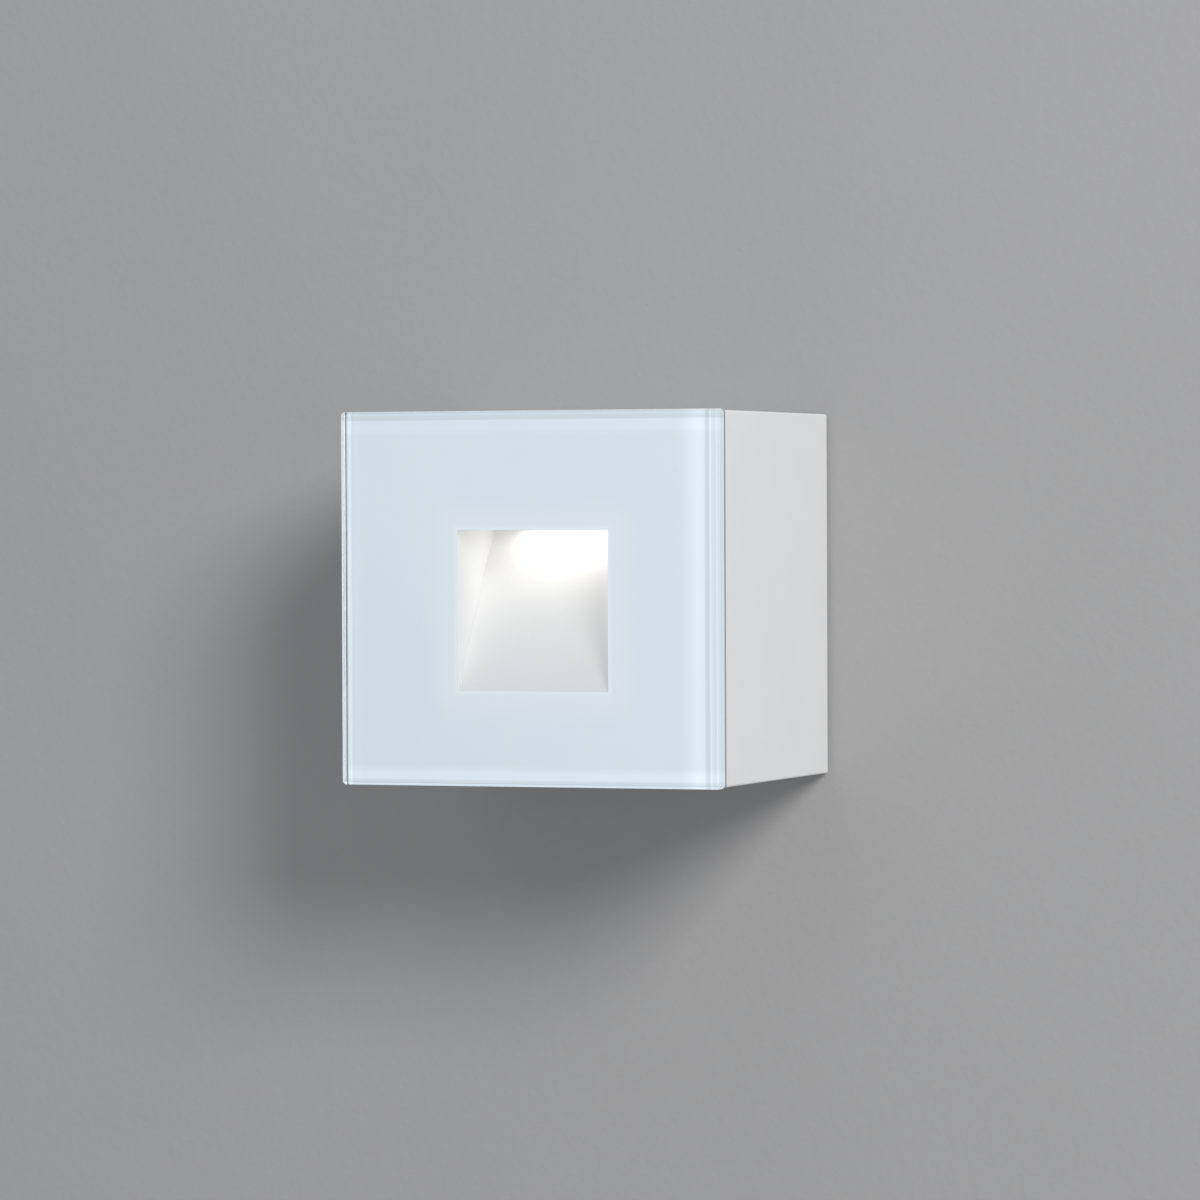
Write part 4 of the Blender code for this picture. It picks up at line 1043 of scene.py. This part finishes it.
def buildReflector():
    front, sheet, halfX = reflector["front"], reflector["sheet"], reflector["halfX"]
    (sillY, sillZ), (topY, topZ) = reflector["sill"], reflector["top"]
    low, high = reflector["bottom"] - sheet, topZ + sheet
    thick = sheet * math.hypot(1, (topY - sillY) / (topZ - sillZ))
    shell = [(front, low), (slopeY(low) + thick, low), (slopeY(high) + thick, high), (front, high)]
    bm = prism(bmesh.new(), shell, "X", -halfX - sheet, halfX + sheet)
    rear = [edge for edge in bm.edges if min(vert.co.y for vert in edge.verts) > front + 0.1]
    roundEdges(bm, rear, reflector["backEdge"], 3)
    piece = make("reflector", bm)
    _, flangeHigh = boxOf("reflector")
    outline = roundedBox(flangeHigh.x, flangeHigh.z, reflector["flangeCorner"], 6)
    flangeFront, flangeBack = reflector["flange"]
    combine(piece, prism(bmesh.new(), outline, "Y", flangeFront, flangeBack), "UNION")
    bottom = reflector["bottom"]
    hollow = [(front - 3, bottom), (sillY, bottom), (sillY, sillZ), (topY, topZ), (front - 3, topZ)]
    bm = prism(bmesh.new(), hollow, "X", -halfX, halfX)
    creases = [
        edge
        for edge in bm.edges
        if max(vert.co.y for vert in edge.verts) > sillY + 1 and max(v.co.z for v in edge.verts) > sillZ
    ]
    roundEdges(bm, creases, reflector["fillet"], 4)
    combine(piece, bm, "DIFFERENCE")
    slotX, slotFront, slotBack = reflector["slot"]
    halfSlot, centre = (slotBack - slotFront) / 2, (0, (slotFront + slotBack) / 2)
    outline = roundedBox(slotX, halfSlot, reflector["slotCorner"], 6, centre)
    openings = prism(bmesh.new(), outline, "Z", topZ - 0.8, high + 1)
    screwX, screwZ, radius = reflector["screw"]
    for x in (-screwX, screwX):
        for z in (-screwZ, screwZ):
            cylinder(openings, "Y", (x, z), front, flangeBack + 1, radius, 32)
    combine(piece, openings, "DIFFERENCE")
    settle(piece, "reflectorWhite", "lamp_body", "reflector")


# screws, made once for each size and then set in place

screwSizes = {
    "m3": {"head": 2.5, "rise": 1.3, "thread": 1.48, "pitch": 0.5, "recess": 1.0},
    "m4": {"head": 3.6, "rise": 2.2, "thread": 1.95, "pitch": 0.7, "recess": 1.4},
}


def lathe(bm, profile, sides=48):
    return loft(bm, [[Vector((x, y, z)) for x, y in circle(r, (0, 0), sides)] for r, z in profile])


def thread(bm, radius, pitch, low, high, sides=32, steps=6):
    depth = 0.54 * pitch
    count = int((high - low) / pitch * steps)
    rings = []
    for row in range(count + 1):
        z = low + (high - low) * row / count
        fade = min(1.0, (z - low) / pitch, 2 * (high - z) / pitch)
        ring = []
        for side in range(sides):
            wave = abs(2 * ((z / pitch - side / sides) % 1) - 1)
            crest = min(max(1.5 * wave - 0.25, 0.0), 1.0)
            reach = radius - depth + depth * crest * fade
            angle = 2 * math.pi * side / sides
            ring.append(Vector((reach * math.cos(angle), reach * math.sin(angle), z)))
        rings.append(ring)
    return loft(bm, rings)


def crossCutter(reach, halfWidth, top, depth):
    def outline(size, half):
        arm = [(size, -half), (size, half), (half, half)]
        corners = []
        for quarter in range(4):
            c, s = math.cos(quarter * math.pi / 2), math.sin(quarter * math.pi / 2)
            corners += [(x * c - y * s, x * s + y * c) for x, y in arm]
        return corners

    stations = (
        (reach, halfWidth, top + 0.2),
        (reach, halfWidth, top),
        (reach * 0.45, halfWidth * 0.7, top - depth),
    )
    rings = [[Vector((x, y, z)) for x, y in outline(size, half)] for size, half, z in stations]
    return loft(bmesh.new(), rings)


def panScrewMesh(size, length):
    facts = screwSizes[size]
    head, rise = facts["head"], facts["rise"]
    neck = facts["thread"] * 0.8
    profile = [(0.05, -0.2), (neck, -0.2), (neck, 0), (head - 0.08, 0), (head, 0.1)]
    for step in range(9):
        angle = math.pi / 2 * step / 8
        reach = 0.28 + 0.72 * math.cos(angle) ** 0.75
        profile.append((head * reach, rise * (0.25 + 0.75 * math.sin(angle))))
    piece = make("screw", lathe(bmesh.new(), profile))
    combine(piece, crossCutter(head * 0.56, head * 0.12, rise, facts["recess"]), "DIFFERENCE")
    bm = bmesh.new()
    bm.from_mesh(piece.data)
    bmesh.ops.scale(bm, vec=(1 / mm,) * 3, verts=bm.verts)
    bpy.data.objects.remove(piece, do_unlink=True)
    thread(bm, facts["thread"], facts["pitch"], -length, 0.1)
    return meshFrom("screw", bm)


def setScrew(name, node, mesh, rise, facing, spin, metal="stainless", body="lamp_body"):
    # facing is the way that the head looks; the node's box says where it sits
    low, high = boxOf(node)
    spot = (low + high) / 2
    along, outward = {"front": (1, -1), "rear": (1, 1), "down": (2, -1), "up": (2, 1)}[facing]
    spot[along] = low[along] + rise if outward < 0 else high[along] - rise
    direction = Vector((0, 0, 0))
    direction[along] = outward
    turn = Vector((0, 0, 1)).rotation_difference(direction).to_matrix().to_4x4()
    own = mesh.copy()
    own.transform(Matrix.Translation(spot * mm) @ turn @ Matrix.Rotation(math.radians(spin), 4, "Z"))
    settle(addObject(name, own), metal, body, node)


panScrews = (
    # name, number of them, size, length, way the head looks
    ("reflector_screw", 4, "m3", 8.0, "front"),
    ("led_board_screw", 2, "m3", 7.0, "down"),
    ("led_bracket_screw", 2, "m3", 5.5, "front"),
    ("driver_screw", 2, "m3", 4.5, "front"),
    ("terminal_fixing", 2, "m3", 8.5, "rear"),
)

earthScrew = {"size": "m4", "length": 7.0, "spin": 18}


def buildPanScrews():
    for number, (group, count, size, length, facing) in enumerate(panScrews):
        mesh = panScrewMesh(size, length)
        for index in range(1, count + 1):
            node = group + "_" + str(index)
            spin = 37 * index + 23 * number
            setScrew("screw_" + node, node, mesh, screwSizes[size]["rise"], facing, spin)
    size = earthScrew["size"]
    mesh = panScrewMesh(size, earthScrew["length"])
    setScrew("screw_earth", "earth_screw", mesh, screwSizes[size]["rise"], "rear", earthScrew["spin"])


clampScrew = {
    "radius": 1.95,
    "pitch": 0.7,
    "length": 6.0,
    "tip": 1.0,
    "socketHalf": 1.0,
    "socketDepth": 2.4,
    "spins": {"top": 12, "bottom": 41},
}


def buildClampScrews():
    length, radius, tip = clampScrew["length"], clampScrew["radius"], clampScrew["tip"]
    bm = thread(bmesh.new(), radius, clampScrew["pitch"], 0.6, length - 0.05, 40, 8)
    core = radius - 0.5 * clampScrew["pitch"] + 0.05
    lathe(bm, [(tip, 0), (tip + 0.1, 0.08), (core, 0.75), (core, 1.6)], 40)
    piece = make("clampScrew", bm)
    reach = clampScrew["socketHalf"] / math.cos(math.pi / 6)
    bottom = length - clampScrew["socketDepth"]
    stations = (
        (reach * 1.3, length + 0.3),
        (reach, length - 0.2),
        (reach, bottom),
        (reach * 0.3, bottom - 0.4),
    )
    combine(piece, lathe(bmesh.new(), stations, 6), "DIFFERENCE")
    mesh = piece.data
    bpy.data.objects.remove(piece, do_unlink=True)
    for end, facing in (("top", "up"), ("bottom", "down")):
        name, node = "clampScrew" + end.capitalize(), "clamp_screw_" + end
        setScrew(name, node, mesh, length, facing, clampScrew["spins"][end], body=node)


# wall bracket and its grommet

wallBracket = {
    "sheet": 1.5,
    "plateX": 35.0,
    "plateZ": 34.5,
    "corner": 3.0,
    "armHalf": 10.0,
    "bendInside": 1.0,
    "bendSteps": 10,
    "cableHole": (0.0, -20.0, 10.0),  # x, z, radius
    "slotX": 25.0,
    "slot": (5.0, 14.0),  # width, length
    "edge": 0.18,
}


def pushFace(bm, face, matrix):
    grown = bmesh.ops.extrude_face_region(bm, geom=[face])["geom"]
    corners = [item for item in grown if isinstance(item, bmesh.types.BMVert)]
    bmesh.ops.transform(bm, matrix=matrix, verts=corners)
    if face.is_valid:
        bm.faces.remove(face)
    return next(item for item in grown if isinstance(item, bmesh.types.BMFace))


def buildWallBracket():
    sheet, inside, armHalf = wallBracket["sheet"], wallBracket["bendInside"], wallBracket["armHalf"]
    plateX, plateZ = wallBracket["plateX"], wallBracket["plateZ"]
    low, high = boxOf("wall_bracket")
    bendLine = high.z - sheet - inside
    corners = roundedBox(plateX, plateZ, wallBracket["corner"])
    quarter = len(corners) // 4
    top = [(armHalf, plateZ), (armHalf, bendLine), (-armHalf, bendLine), (-armHalf, plateZ)]
    bottom = [(-x, -z) for x, z in top]
    outline = corners[:quarter] + top + corners[quarter : 3 * quarter] + bottom + corners[3 * quarter :]
    bm = prism(bmesh.new(), outline, "Y", -sheet, 0)
    for side in (1, -1):
        tip = Vector((0, -sheet / 2, side * bendLine))
        end = min(bm.faces, key=lambda face: (face.calc_center_bounds() - tip).length)
        pivot = Vector((0, -sheet - inside, side * bendLine))
        turn = Matrix.Rotation(side * math.pi / 2 / wallBracket["bendSteps"], 4, "X")
        step = Matrix.Translation(pivot) @ turn @ Matrix.Translation(-pivot)
        for _ in range(wallBracket["bendSteps"]):
            end = pushFace(bm, end, step)
        pushFace(bm, end, Matrix.Translation((0, low.y - pivot.y, 0)))
    piece = make("wallBracket", bm)
    x, z, radius = wallBracket["cableHole"]
    holes = cylinder(bmesh.new(), "Y", (x, z), -2 * sheet, sheet, radius, 64)
    for side in (1, -1):
        outline = slotOutline((side * wallBracket["slotX"], 0), *wallBracket["slot"])
        prism(holes, outline, "Y", -2 * sheet, sheet)
    combine(piece, holes, "DIFFERENCE")
    soften(piece, wallBracket["edge"])
    settle(piece, "zincSteel", "bracket", "wall_bracket")


grommets = {
    "bracket": {
        "centre": (0.0, -20.0),
        "inside": 8.0,
        "groove": 9.7,
        "lip": 11.5,
        "lipThick": 1.2,
        "edge": 0.4,
    },
    "cable": {
        "centre": (36.5, -6.0),
        "inside": 2.6,
        "groove": 4.7,
        "lip": 6.3,
        "lipThick": 1.4,
        "edge": 0.35,
    },
}


def buildGrommets():
    # the bracket's ring has one lip, since its other face lies on the wall; the cable's has two
    facts = grommets["bracket"]
    inside, groove, lip = facts["inside"], facts["groove"], facts["lip"]
    low, high = boxOf("bracket_grommet")
    shoulder = low.y + facts["lipThick"]
    section = [(inside, high.y), (groove, high.y), (groove, shoulder), (lip, shoulder)]
    section += [(lip, low.y), (inside, low.y)]
    piece = make("bracketGrommet", turned(bmesh.new(), section, facts["centre"], 72))
    soften(piece, facts["edge"], 4)
    settle(piece, "blackRubber", "bracket", "bracket_grommet")
    facts = grommets["cable"]
    inside, groove, lip = facts["inside"], facts["groove"], facts["lip"]
    low, high = boxOf("cable_grommet")
    front, rear = low.y + facts["lipThick"], high.y - facts["lipThick"]
    section = [(inside, low.y), (lip, low.y), (lip, front), (groove, front), (groove, rear)]
    section += [(lip, rear), (lip, high.y), (inside, high.y)]
    piece = make("cableGrommet", turned(bmesh.new(), section, facts["centre"], 56))
    soften(piece, facts["edge"], 4)
    settle(piece, "blackRubber", "lamp_body", "cable_grommet")


# mains connection in the rear chamber

terminalBlock = {
    "pitch": 12.0,
    "towerWidth": 6.4,
    "taper": 0.15,
    "baseBack": -15.0,
    "wireY": -17.0,
    "wireHole": 1.5,
    "wireDepth": 6.5,
    "leadIn": (0.55, 1.2),  # extra radius, depth
    "screwOffset": 4.0,
    "well": 2.0,
    "wellBottom": -14.5,
    "fixingHole": 1.85,
    "edge": 0.25,
}

terminalScrew = {"tip": 0.25, "crown": 0.2, "slitHalf": 0.27, "slitDepth": 0.85, "edge": 0.05}


def buildTerminalBlock():
    low, high = boxOf("terminal_block")
    pitch, width, back = terminalBlock["pitch"], terminalBlock["towerWidth"], terminalBlock["baseBack"]
    taper, hole = terminalBlock["taper"], terminalBlock["wireHole"]
    outline = [(high.x, low.y), (high.x, back)]
    for pole in (1, 0, -1):
        right, left = pole * pitch + width / 2, pole * pitch - width / 2
        outline += [(right, back), (right - taper, high.y), (left + taper, high.y), (left, back)]
    outline += [(low.x, back), (low.x, low.y)]
    piece = make("terminalBlock", prism(bmesh.new(), outline, "Z", low.z, high.z))
    middleZ, (wider, deep) = (low.z + high.z) / 2, terminalBlock["leadIn"]
    holes = bmesh.new()
    for pole in (-1, 0, 1):
        centre = (pole * pitch, terminalBlock["wireY"])
        for end, inward in ((low.z, 1), (high.z, -1)):
            stations = (
                (hole + wider, end - inward),
                (hole + wider, end),
                (hole, end + inward * deep),
                (hole, end + inward * terminalBlock["wireDepth"]),
            )
            loft(holes, [[point("Z", z, u, v) for u, v in circle(r, centre, 40)] for r, z in stations])
        for offset in (-terminalBlock["screwOffset"], terminalBlock["screwOffset"]):
            spot = (pole * pitch, middleZ + offset)
            cylinder(holes, "Y", spot, terminalBlock["wellBottom"], high.y + 1, terminalBlock["well"])
    for side in (1, -1):
        spot = (side * pitch / 2, middleZ)
        cylinder(holes, "Y", spot, low.y - 1, back + 1, terminalBlock["fixingHole"])
    combine(piece, holes, "DIFFERENCE")
    soften(piece, terminalBlock["edge"], 3)
    settle(piece, "terminalPlastic", "lamp_body", "terminal_block")


def buildTerminalScrews():
    low, high = boxOf("terminal_screw_1")
    length, radius = high.y - low.y, (high.x - low.x) / 2
    tip, crown = terminalScrew["tip"], terminalScrew["crown"]
    profile = [(radius - tip, 0), (radius, tip), (radius, length - crown), (radius - crown, length)]
    piece = make("screw", lathe(bmesh.new(), profile, 40))
    half, bottom = terminalScrew["slitHalf"], length - terminalScrew["slitDepth"]
    slit = block(bmesh.new(), (-radius - 1, -half, bottom), (radius + 1, half, length + 1))
    combine(piece, slit, "DIFFERENCE")
    soften(piece, terminalScrew["edge"], 2)
    mesh = piece.data
    bpy.data.objects.remove(piece, do_unlink=True)
    for number in range(1, 7):
        node = "terminal_screw_" + str(number)
        setScrew("screw_" + node, node, mesh, length, "rear", 51 * number, "brass")


earthPoint = {
    "eye": 4.2,
    "hole": 2.1,
    "neck": 1.6,
    "barrel": (7.6, 12.9),  # start and end above the eye's centre
    "barrelRadius": 1.35,
    "underlap": 1.2,
    "pinch": (0.22, 0.16),  # depth and length, as shares
    "edge": 0.08,
    "teeth": 14,
    "washer": (2.15, 4.4, 3.85),  # hole, tooth, root
}


def buildEarthPoint():
    x, z = housing["earth"]
    low, high = boxOf("earth_ring")
    eye, neck, hole = earthPoint["eye"], earthPoint["neck"], earthPoint["hole"]
    first = math.acos(neck / eye)
    arc = [math.pi - first + (math.pi + 2 * first) * step / 40 for step in range(41)]
    outline = [(x + eye * math.cos(a), z + eye * math.sin(a)) for a in arc]
    start, end = earthPoint["barrel"]
    outline += [(x + neck, z + start), (x - neck, z + start)]
    piece = make("earthRing", prism(bmesh.new(), outline, "Y", low.y, high.y))
    combine(piece, cylinder(bmesh.new(), "Y", (x, z), low.y - 1, high.y + 1, hole), "DIFFERENCE")
    middle, start = (low.y + high.y) / 2 + 0.1, start - earthPoint["underlap"]
    depth, reach = earthPoint["pinch"]
    rings = []
    for step in range(25):
        share = step / 24
        squeeze = depth * math.exp(-(((share - 0.5) / reach) ** 2))
        wide, deep = 1 + squeeze * 0.5, 1 - squeeze * 1.6
        height = z + start + share * (end - start)
        outline = circle(earthPoint["barrelRadius"], (0, 0), 32)
        rings.append([Vector((x + u * wide, middle + v * deep, height)) for u, v in outline])
    combine(piece, loft(bmesh.new(), rings), "UNION")
    soften(piece, earthPoint["edge"], 2)
    settle(piece, "tinnedCopper", "lamp_body", "earth_ring")
    low, high = boxOf("earth_washer")
    inside, tooth, root = earthPoint["washer"]
    count = earthPoint["teeth"] * 4
    outer = []
    for step in range(count):
        reach = tooth if step % 4 in (1, 2) else root
        angle = 2 * math.pi * step / count
        outer.append((x + reach * math.cos(angle), z + reach * math.sin(angle)))
    inner = circle(inside, (x, z), count)
    rings = ringsAt((outer, low.y), (outer, high.y), (inner, high.y), (inner, low.y))
    piece = make("earthWasher", loft(bmesh.new(), rings, closed=True))
    settle(piece, "stainless", "lamp_body", "earth_washer")


def smoothRoute(points, steps=10):
    # points along a curve that passes through the given ones
    padded = [points[0], *points, points[-1]]
    route = []
    for before, start, end, after in zip(padded, padded[1:], padded[2:], padded[3:]):
        for step in range(steps):
            t = step / steps
            route.append(
                start
                + (end - before) * (t / 2)
                + (before * 2 - start * 5 + end * 4 - after) * (t * t / 2)
                + (start * 3 - before - end * 3 + after) * (t * t * t / 2)
            )
    return route + [points[-1]]


def leadTube(name, points, radius, sides=20):
    # a round tube along the route, with a map: x goes round it and y along it
    route = smoothRoute([Vector(spot) for spot in points])
    bm = bmesh.new()
    rows, across = [], None
    for index, spot in enumerate(route):
        ahead = route[min(index + 1, len(route) - 1)] - route[max(index - 1, 0)]
        ahead.normalize()
        if across is None:
            across = ahead.orthogonal().normalized()
        across = (across - ahead * across.dot(ahead)).normalized()
        up = ahead.cross(across)
        ring = []
        for side in range(sides):
            angle = 2 * math.pi * side / sides
            ring.append(bm.verts.new(spot + (across * math.cos(angle) + up * math.sin(angle)) * radius))
        rows.append(ring)
    layer = bm.loops.layers.uv.new("alongLead")
    for row, (lower, upper) in enumerate(zip(rows, rows[1:])):
        for side in range(sides):
            after = (side + 1) % sides
            face = bm.faces.new((lower[side], lower[after], upper[after], upper[side]))
            places = ((side, row), (side + 1, row), (side + 1, row + 1), (side, row + 1))
            for corner, (u, v) in zip(face.loops, places):
                corner[layer].uv = (u / sides, v / len(rows))
    bm.faces.new(rows[0])
    bm.faces.new(list(reversed(rows[-1])))
    return make(name, bm)


leadRoutes = {
    "live_lead": {
        "finish": "brownLead",
        "radius": 0.9,
        "points": (
            (12, -17, 17), (12, -17, 24), (18, -15.5, 27), (27, -15, 17), (35.35, -15.5, 3),
            (35.35, -19.5, -5.6), (35.35, -23, -6), (35.35, -28.5, -6.4), (31.85, -33, -11.5),
            (29.5, -34, -14), (26, -34, -14),
        ),
    },
    "neutral_lead": {
        "finish": "blueLead",
        "radius": 0.9,
        "points": (
            (0, -17, 17), (0, -17, 24), (7, -15, 31), (20, -14, 31), (31, -13.5, 19),
            (37.65, -15.5, 3), (37.65, -19.5, -5.6), (37.65, -23, -6), (37.65, -28.5, -6.4),
            (34.15, -37, -11.5), (29.5, -38, -14), (26, -38, -14),
        ),
    },
    "earth_lead": {
        "finish": "earthLead",
        "radius": 0.9,
        "points": (
            (-29, -17.7, 23.4), (-29, -17.75, 24.8), (-29, -17.3, 28), (-24, -16, 32),
            (-16, -16, 31.5), (-12, -17, 25), (-12, -17, 17),
        ),
    },
}

ledRoute = (
    (1.2, -48.2, 20.6), (1.2, -45.5, 20.3), (1.6, -42, 15.5), (2.4, -39, 8), (3, -37, 0),
    (3, -36, -6), (3, -36, -11),
)
for name, side in (("red", 1), ("black", -1)):
    points = [(side * x, y, z) for x, y, z in ledRoute]
    leadRoutes["led_lead_" + name] = {"finish": name + "Lead", "radius": 0.6, "points": points}


def buildLeads():
    for node, facts in leadRoutes.items():
        piece = leadTube(node + "_tube", facts["points"], facts["radius"])
        settle(piece, facts["finish"], "lamp_body", node)


# CAD pieces whose shape is right: they stay, with small rounded edges and a finish

keptNodes = {
    # finish, width of its rounded edges
    "diffuser": ("opalDiffuser", 0.25),
    "led_1": ("phosphor", 0.15),
    "led_2": ("phosphor", 0.15),
    "led_3": ("phosphor", 0.15),
    "led_board": ("boardWhite", 0.08),
    "led_connector": ("terminalPlastic", 0.2),
    "thermal_pad": ("thermalGrey", 0.08),
    "led_bracket": ("bareAluminium", 0.2),
    "driver_case": ("driverPlastic", 0.2),
    "driver_lid": ("driverPlastic", 0.3),
    "driver_board": ("boardGreen", 0.08),
    "driver_transformer": ("ferrite", 0.25),
    "driver_capacitor": ("capacitorSleeve", 0.25),
}


def keepNodes():
    for node, (finish, edge) in keptNodes.items():
        piece = nodes[node]
        weld = piece.modifiers.new("weld", "WELD")
        weld.merge_threshold = 0.000002
        flat = piece.modifiers.new("flatFaces", "DECIMATE")
        flat.decimate_type = "DISSOLVE"
        flat.angle_limit = math.radians(1)
        bevel = piece.modifiers.new("edges", "BEVEL")
        bevel.width = edge * mm
        bevel.segments = 2
        bevel.limit_method = "ANGLE"
        bevel.angle_limit = math.radians(angles["sharp"])
        piece.modifiers.new("normals", "WEIGHTED_NORMAL")
        piece.data.materials.clear()
        piece.data.materials.append(finishes[finish])
        slotName(finish)


buildFrontGlass()
buildEnamelPrint()
buildRubberRings()
print("front built")
buildHousing()
buildReflector()
print("housing and reflector built")
buildPanScrews()
buildClampScrews()
buildWallBracket()
buildGrommets()
print("screws and bracket built")
buildTerminalBlock()
buildTerminalScrews()
buildEarthPoint()
buildLeads()
keepNodes()
print("wiring and light source built")


# studio: a plain pale wall behind the light, a plain pale floor below, soft lights

studio = {
    "wallY": 0.5,
    "wallHalf": 2.2,
    "floorZ": -0.95,
    "wallColour": (0.335, 0.335, 0.34),
    "floorColour": (0.62, 0.61, 0.60),
    "second": 0.985,
    "scale": 450.0,
    "roughness": 0.85,
    "depth": 0.00012,
    "worldColour": (0.93, 0.96, 1.0),
    "worldStrength": 0.55,
}

studioLights = {
    # name: (place in metres, size, power, colour)
    "keyLight": ((1.27, -1.5, 0.85), 0.8, 33.0, (1.0, 0.985, 0.965)),
    "rearFill": ((-0.75, 1.35, 0.3), 1.0, 7.0, (1.0, 1.0, 1.0)),
}


def plasterFinish(name, colour, oneWay):
    finish, tree, shader = newFinish(name)
    grain = useGroup(tree, fineGrain, (-900, 0), {"Scale": studio["scale"], "Detail": 4.0})
    second = tuple(share * studio["second"] for share in colour)
    tint = mixColours(tree, grain.outputs["Mottle"], colour, second, (-460, 160))
    tree.links.new(tint, shader.inputs["Base Color"])
    shader.inputs["Roughness"].default_value = studio["roughness"]
    addBump(tree, shader, grain.outputs["Height"], studio["depth"])
    if oneWay:
        # the wall is clear from behind, to lamp light and in reflections, so the rear can be seen
        behind = addNode(tree, "NewGeometry", (100, 500))
        rays = addNode(tree, "LightPath", (100, 900))
        clear = addNode(tree, "BsdfTransparent", (100, 100))
        factors = [behind.outputs["Backfacing"]]
        factors += [rays.outputs["Is Shadow Ray"], rays.outputs["Is Glossy Ray"]]
        layShaders(tree, shader, [(factor, clear) for factor in factors])
    return finish


def buildStage():
    half, floorZ = studio["wallHalf"], studio["floorZ"]
    sheets = (
        ("wall", "wallColour", True, [(-half, floorZ), (half, floorZ), (half, half), (-half, half)]),
        ("floor", "floorColour", False, [(-half, -half), (half, -half), (half, half), (-half, half)]),
    )
    for name, colour, oneWay, corners in sheets:
        bm = bmesh.new()
        if oneWay:
            spots = [Vector((x, studio["wallY"] * mm, z)) for x, z in corners]
        else:
            spots = [Vector((x, y, floorZ)) for x, y in corners]
        bm.faces.new([bm.verts.new(spot) for spot in spots])
        mesh = bpy.data.meshes.new(name)
        bm.to_mesh(mesh)
        bm.free()
        mesh.materials.append(plasterFinish(name, studio[colour], oneWay))
        addObject(name, mesh)


def buildLights():
    world = bpy.data.worlds.new("studioAir")
    world.use_nodes = True
    scene.world = world
    background = world.node_tree.nodes["Background"]
    background.inputs["Color"].default_value = (*studio["worldColour"], 1)
    background.inputs["Strength"].default_value = studio["worldStrength"]
    middle = (cadLow + cadHigh) / 2
    for name, (place, size, power, colour) in studioLights.items():
        lamp = bpy.data.lights.new(name, "AREA")
        lamp.shape = "DISK"
        lamp.size = size
        lamp.energy = power
        lamp.color = colour
        piece = bpy.data.objects.new(name, lamp)
        piece.location = place
        piece.rotation_mode = "QUATERNION"
        piece.rotation_quaternion = (middle - Vector(place)).to_track_quat("-Z", "Y")
        scene.collection.objects.link(piece)


camera = {
    "place": (0.5139, -1.4027, 0.02274),
    "turn": 20.595,
    "down": 0.936,
    "roll": -0.234,
    "lens": 171.8,
    "sensor": 36.0,
}


def buildCamera():
    data = bpy.data.cameras.new("camera")
    data.lens, data.sensor_width = camera["lens"], camera["sensor"]
    data.clip_start, data.clip_end = 0.05, 12.0
    piece = bpy.data.objects.new("camera", data)
    turn, down, roll = (math.radians(camera[name]) for name in ("turn", "down", "roll"))
    look = Matrix.Rotation(turn, 4, "Z") @ Matrix.Rotation(math.pi / 2 - down, 4, "X")
    piece.matrix_world = Matrix.Translation(camera["place"]) @ look @ Matrix.Rotation(roll, 4, "Z")
    scene.collection.objects.link(piece)
    scene.camera = piece


buildStage()
buildLights()
buildCamera()
scene.view_settings.view_transform = "Standard"
print("studio built")
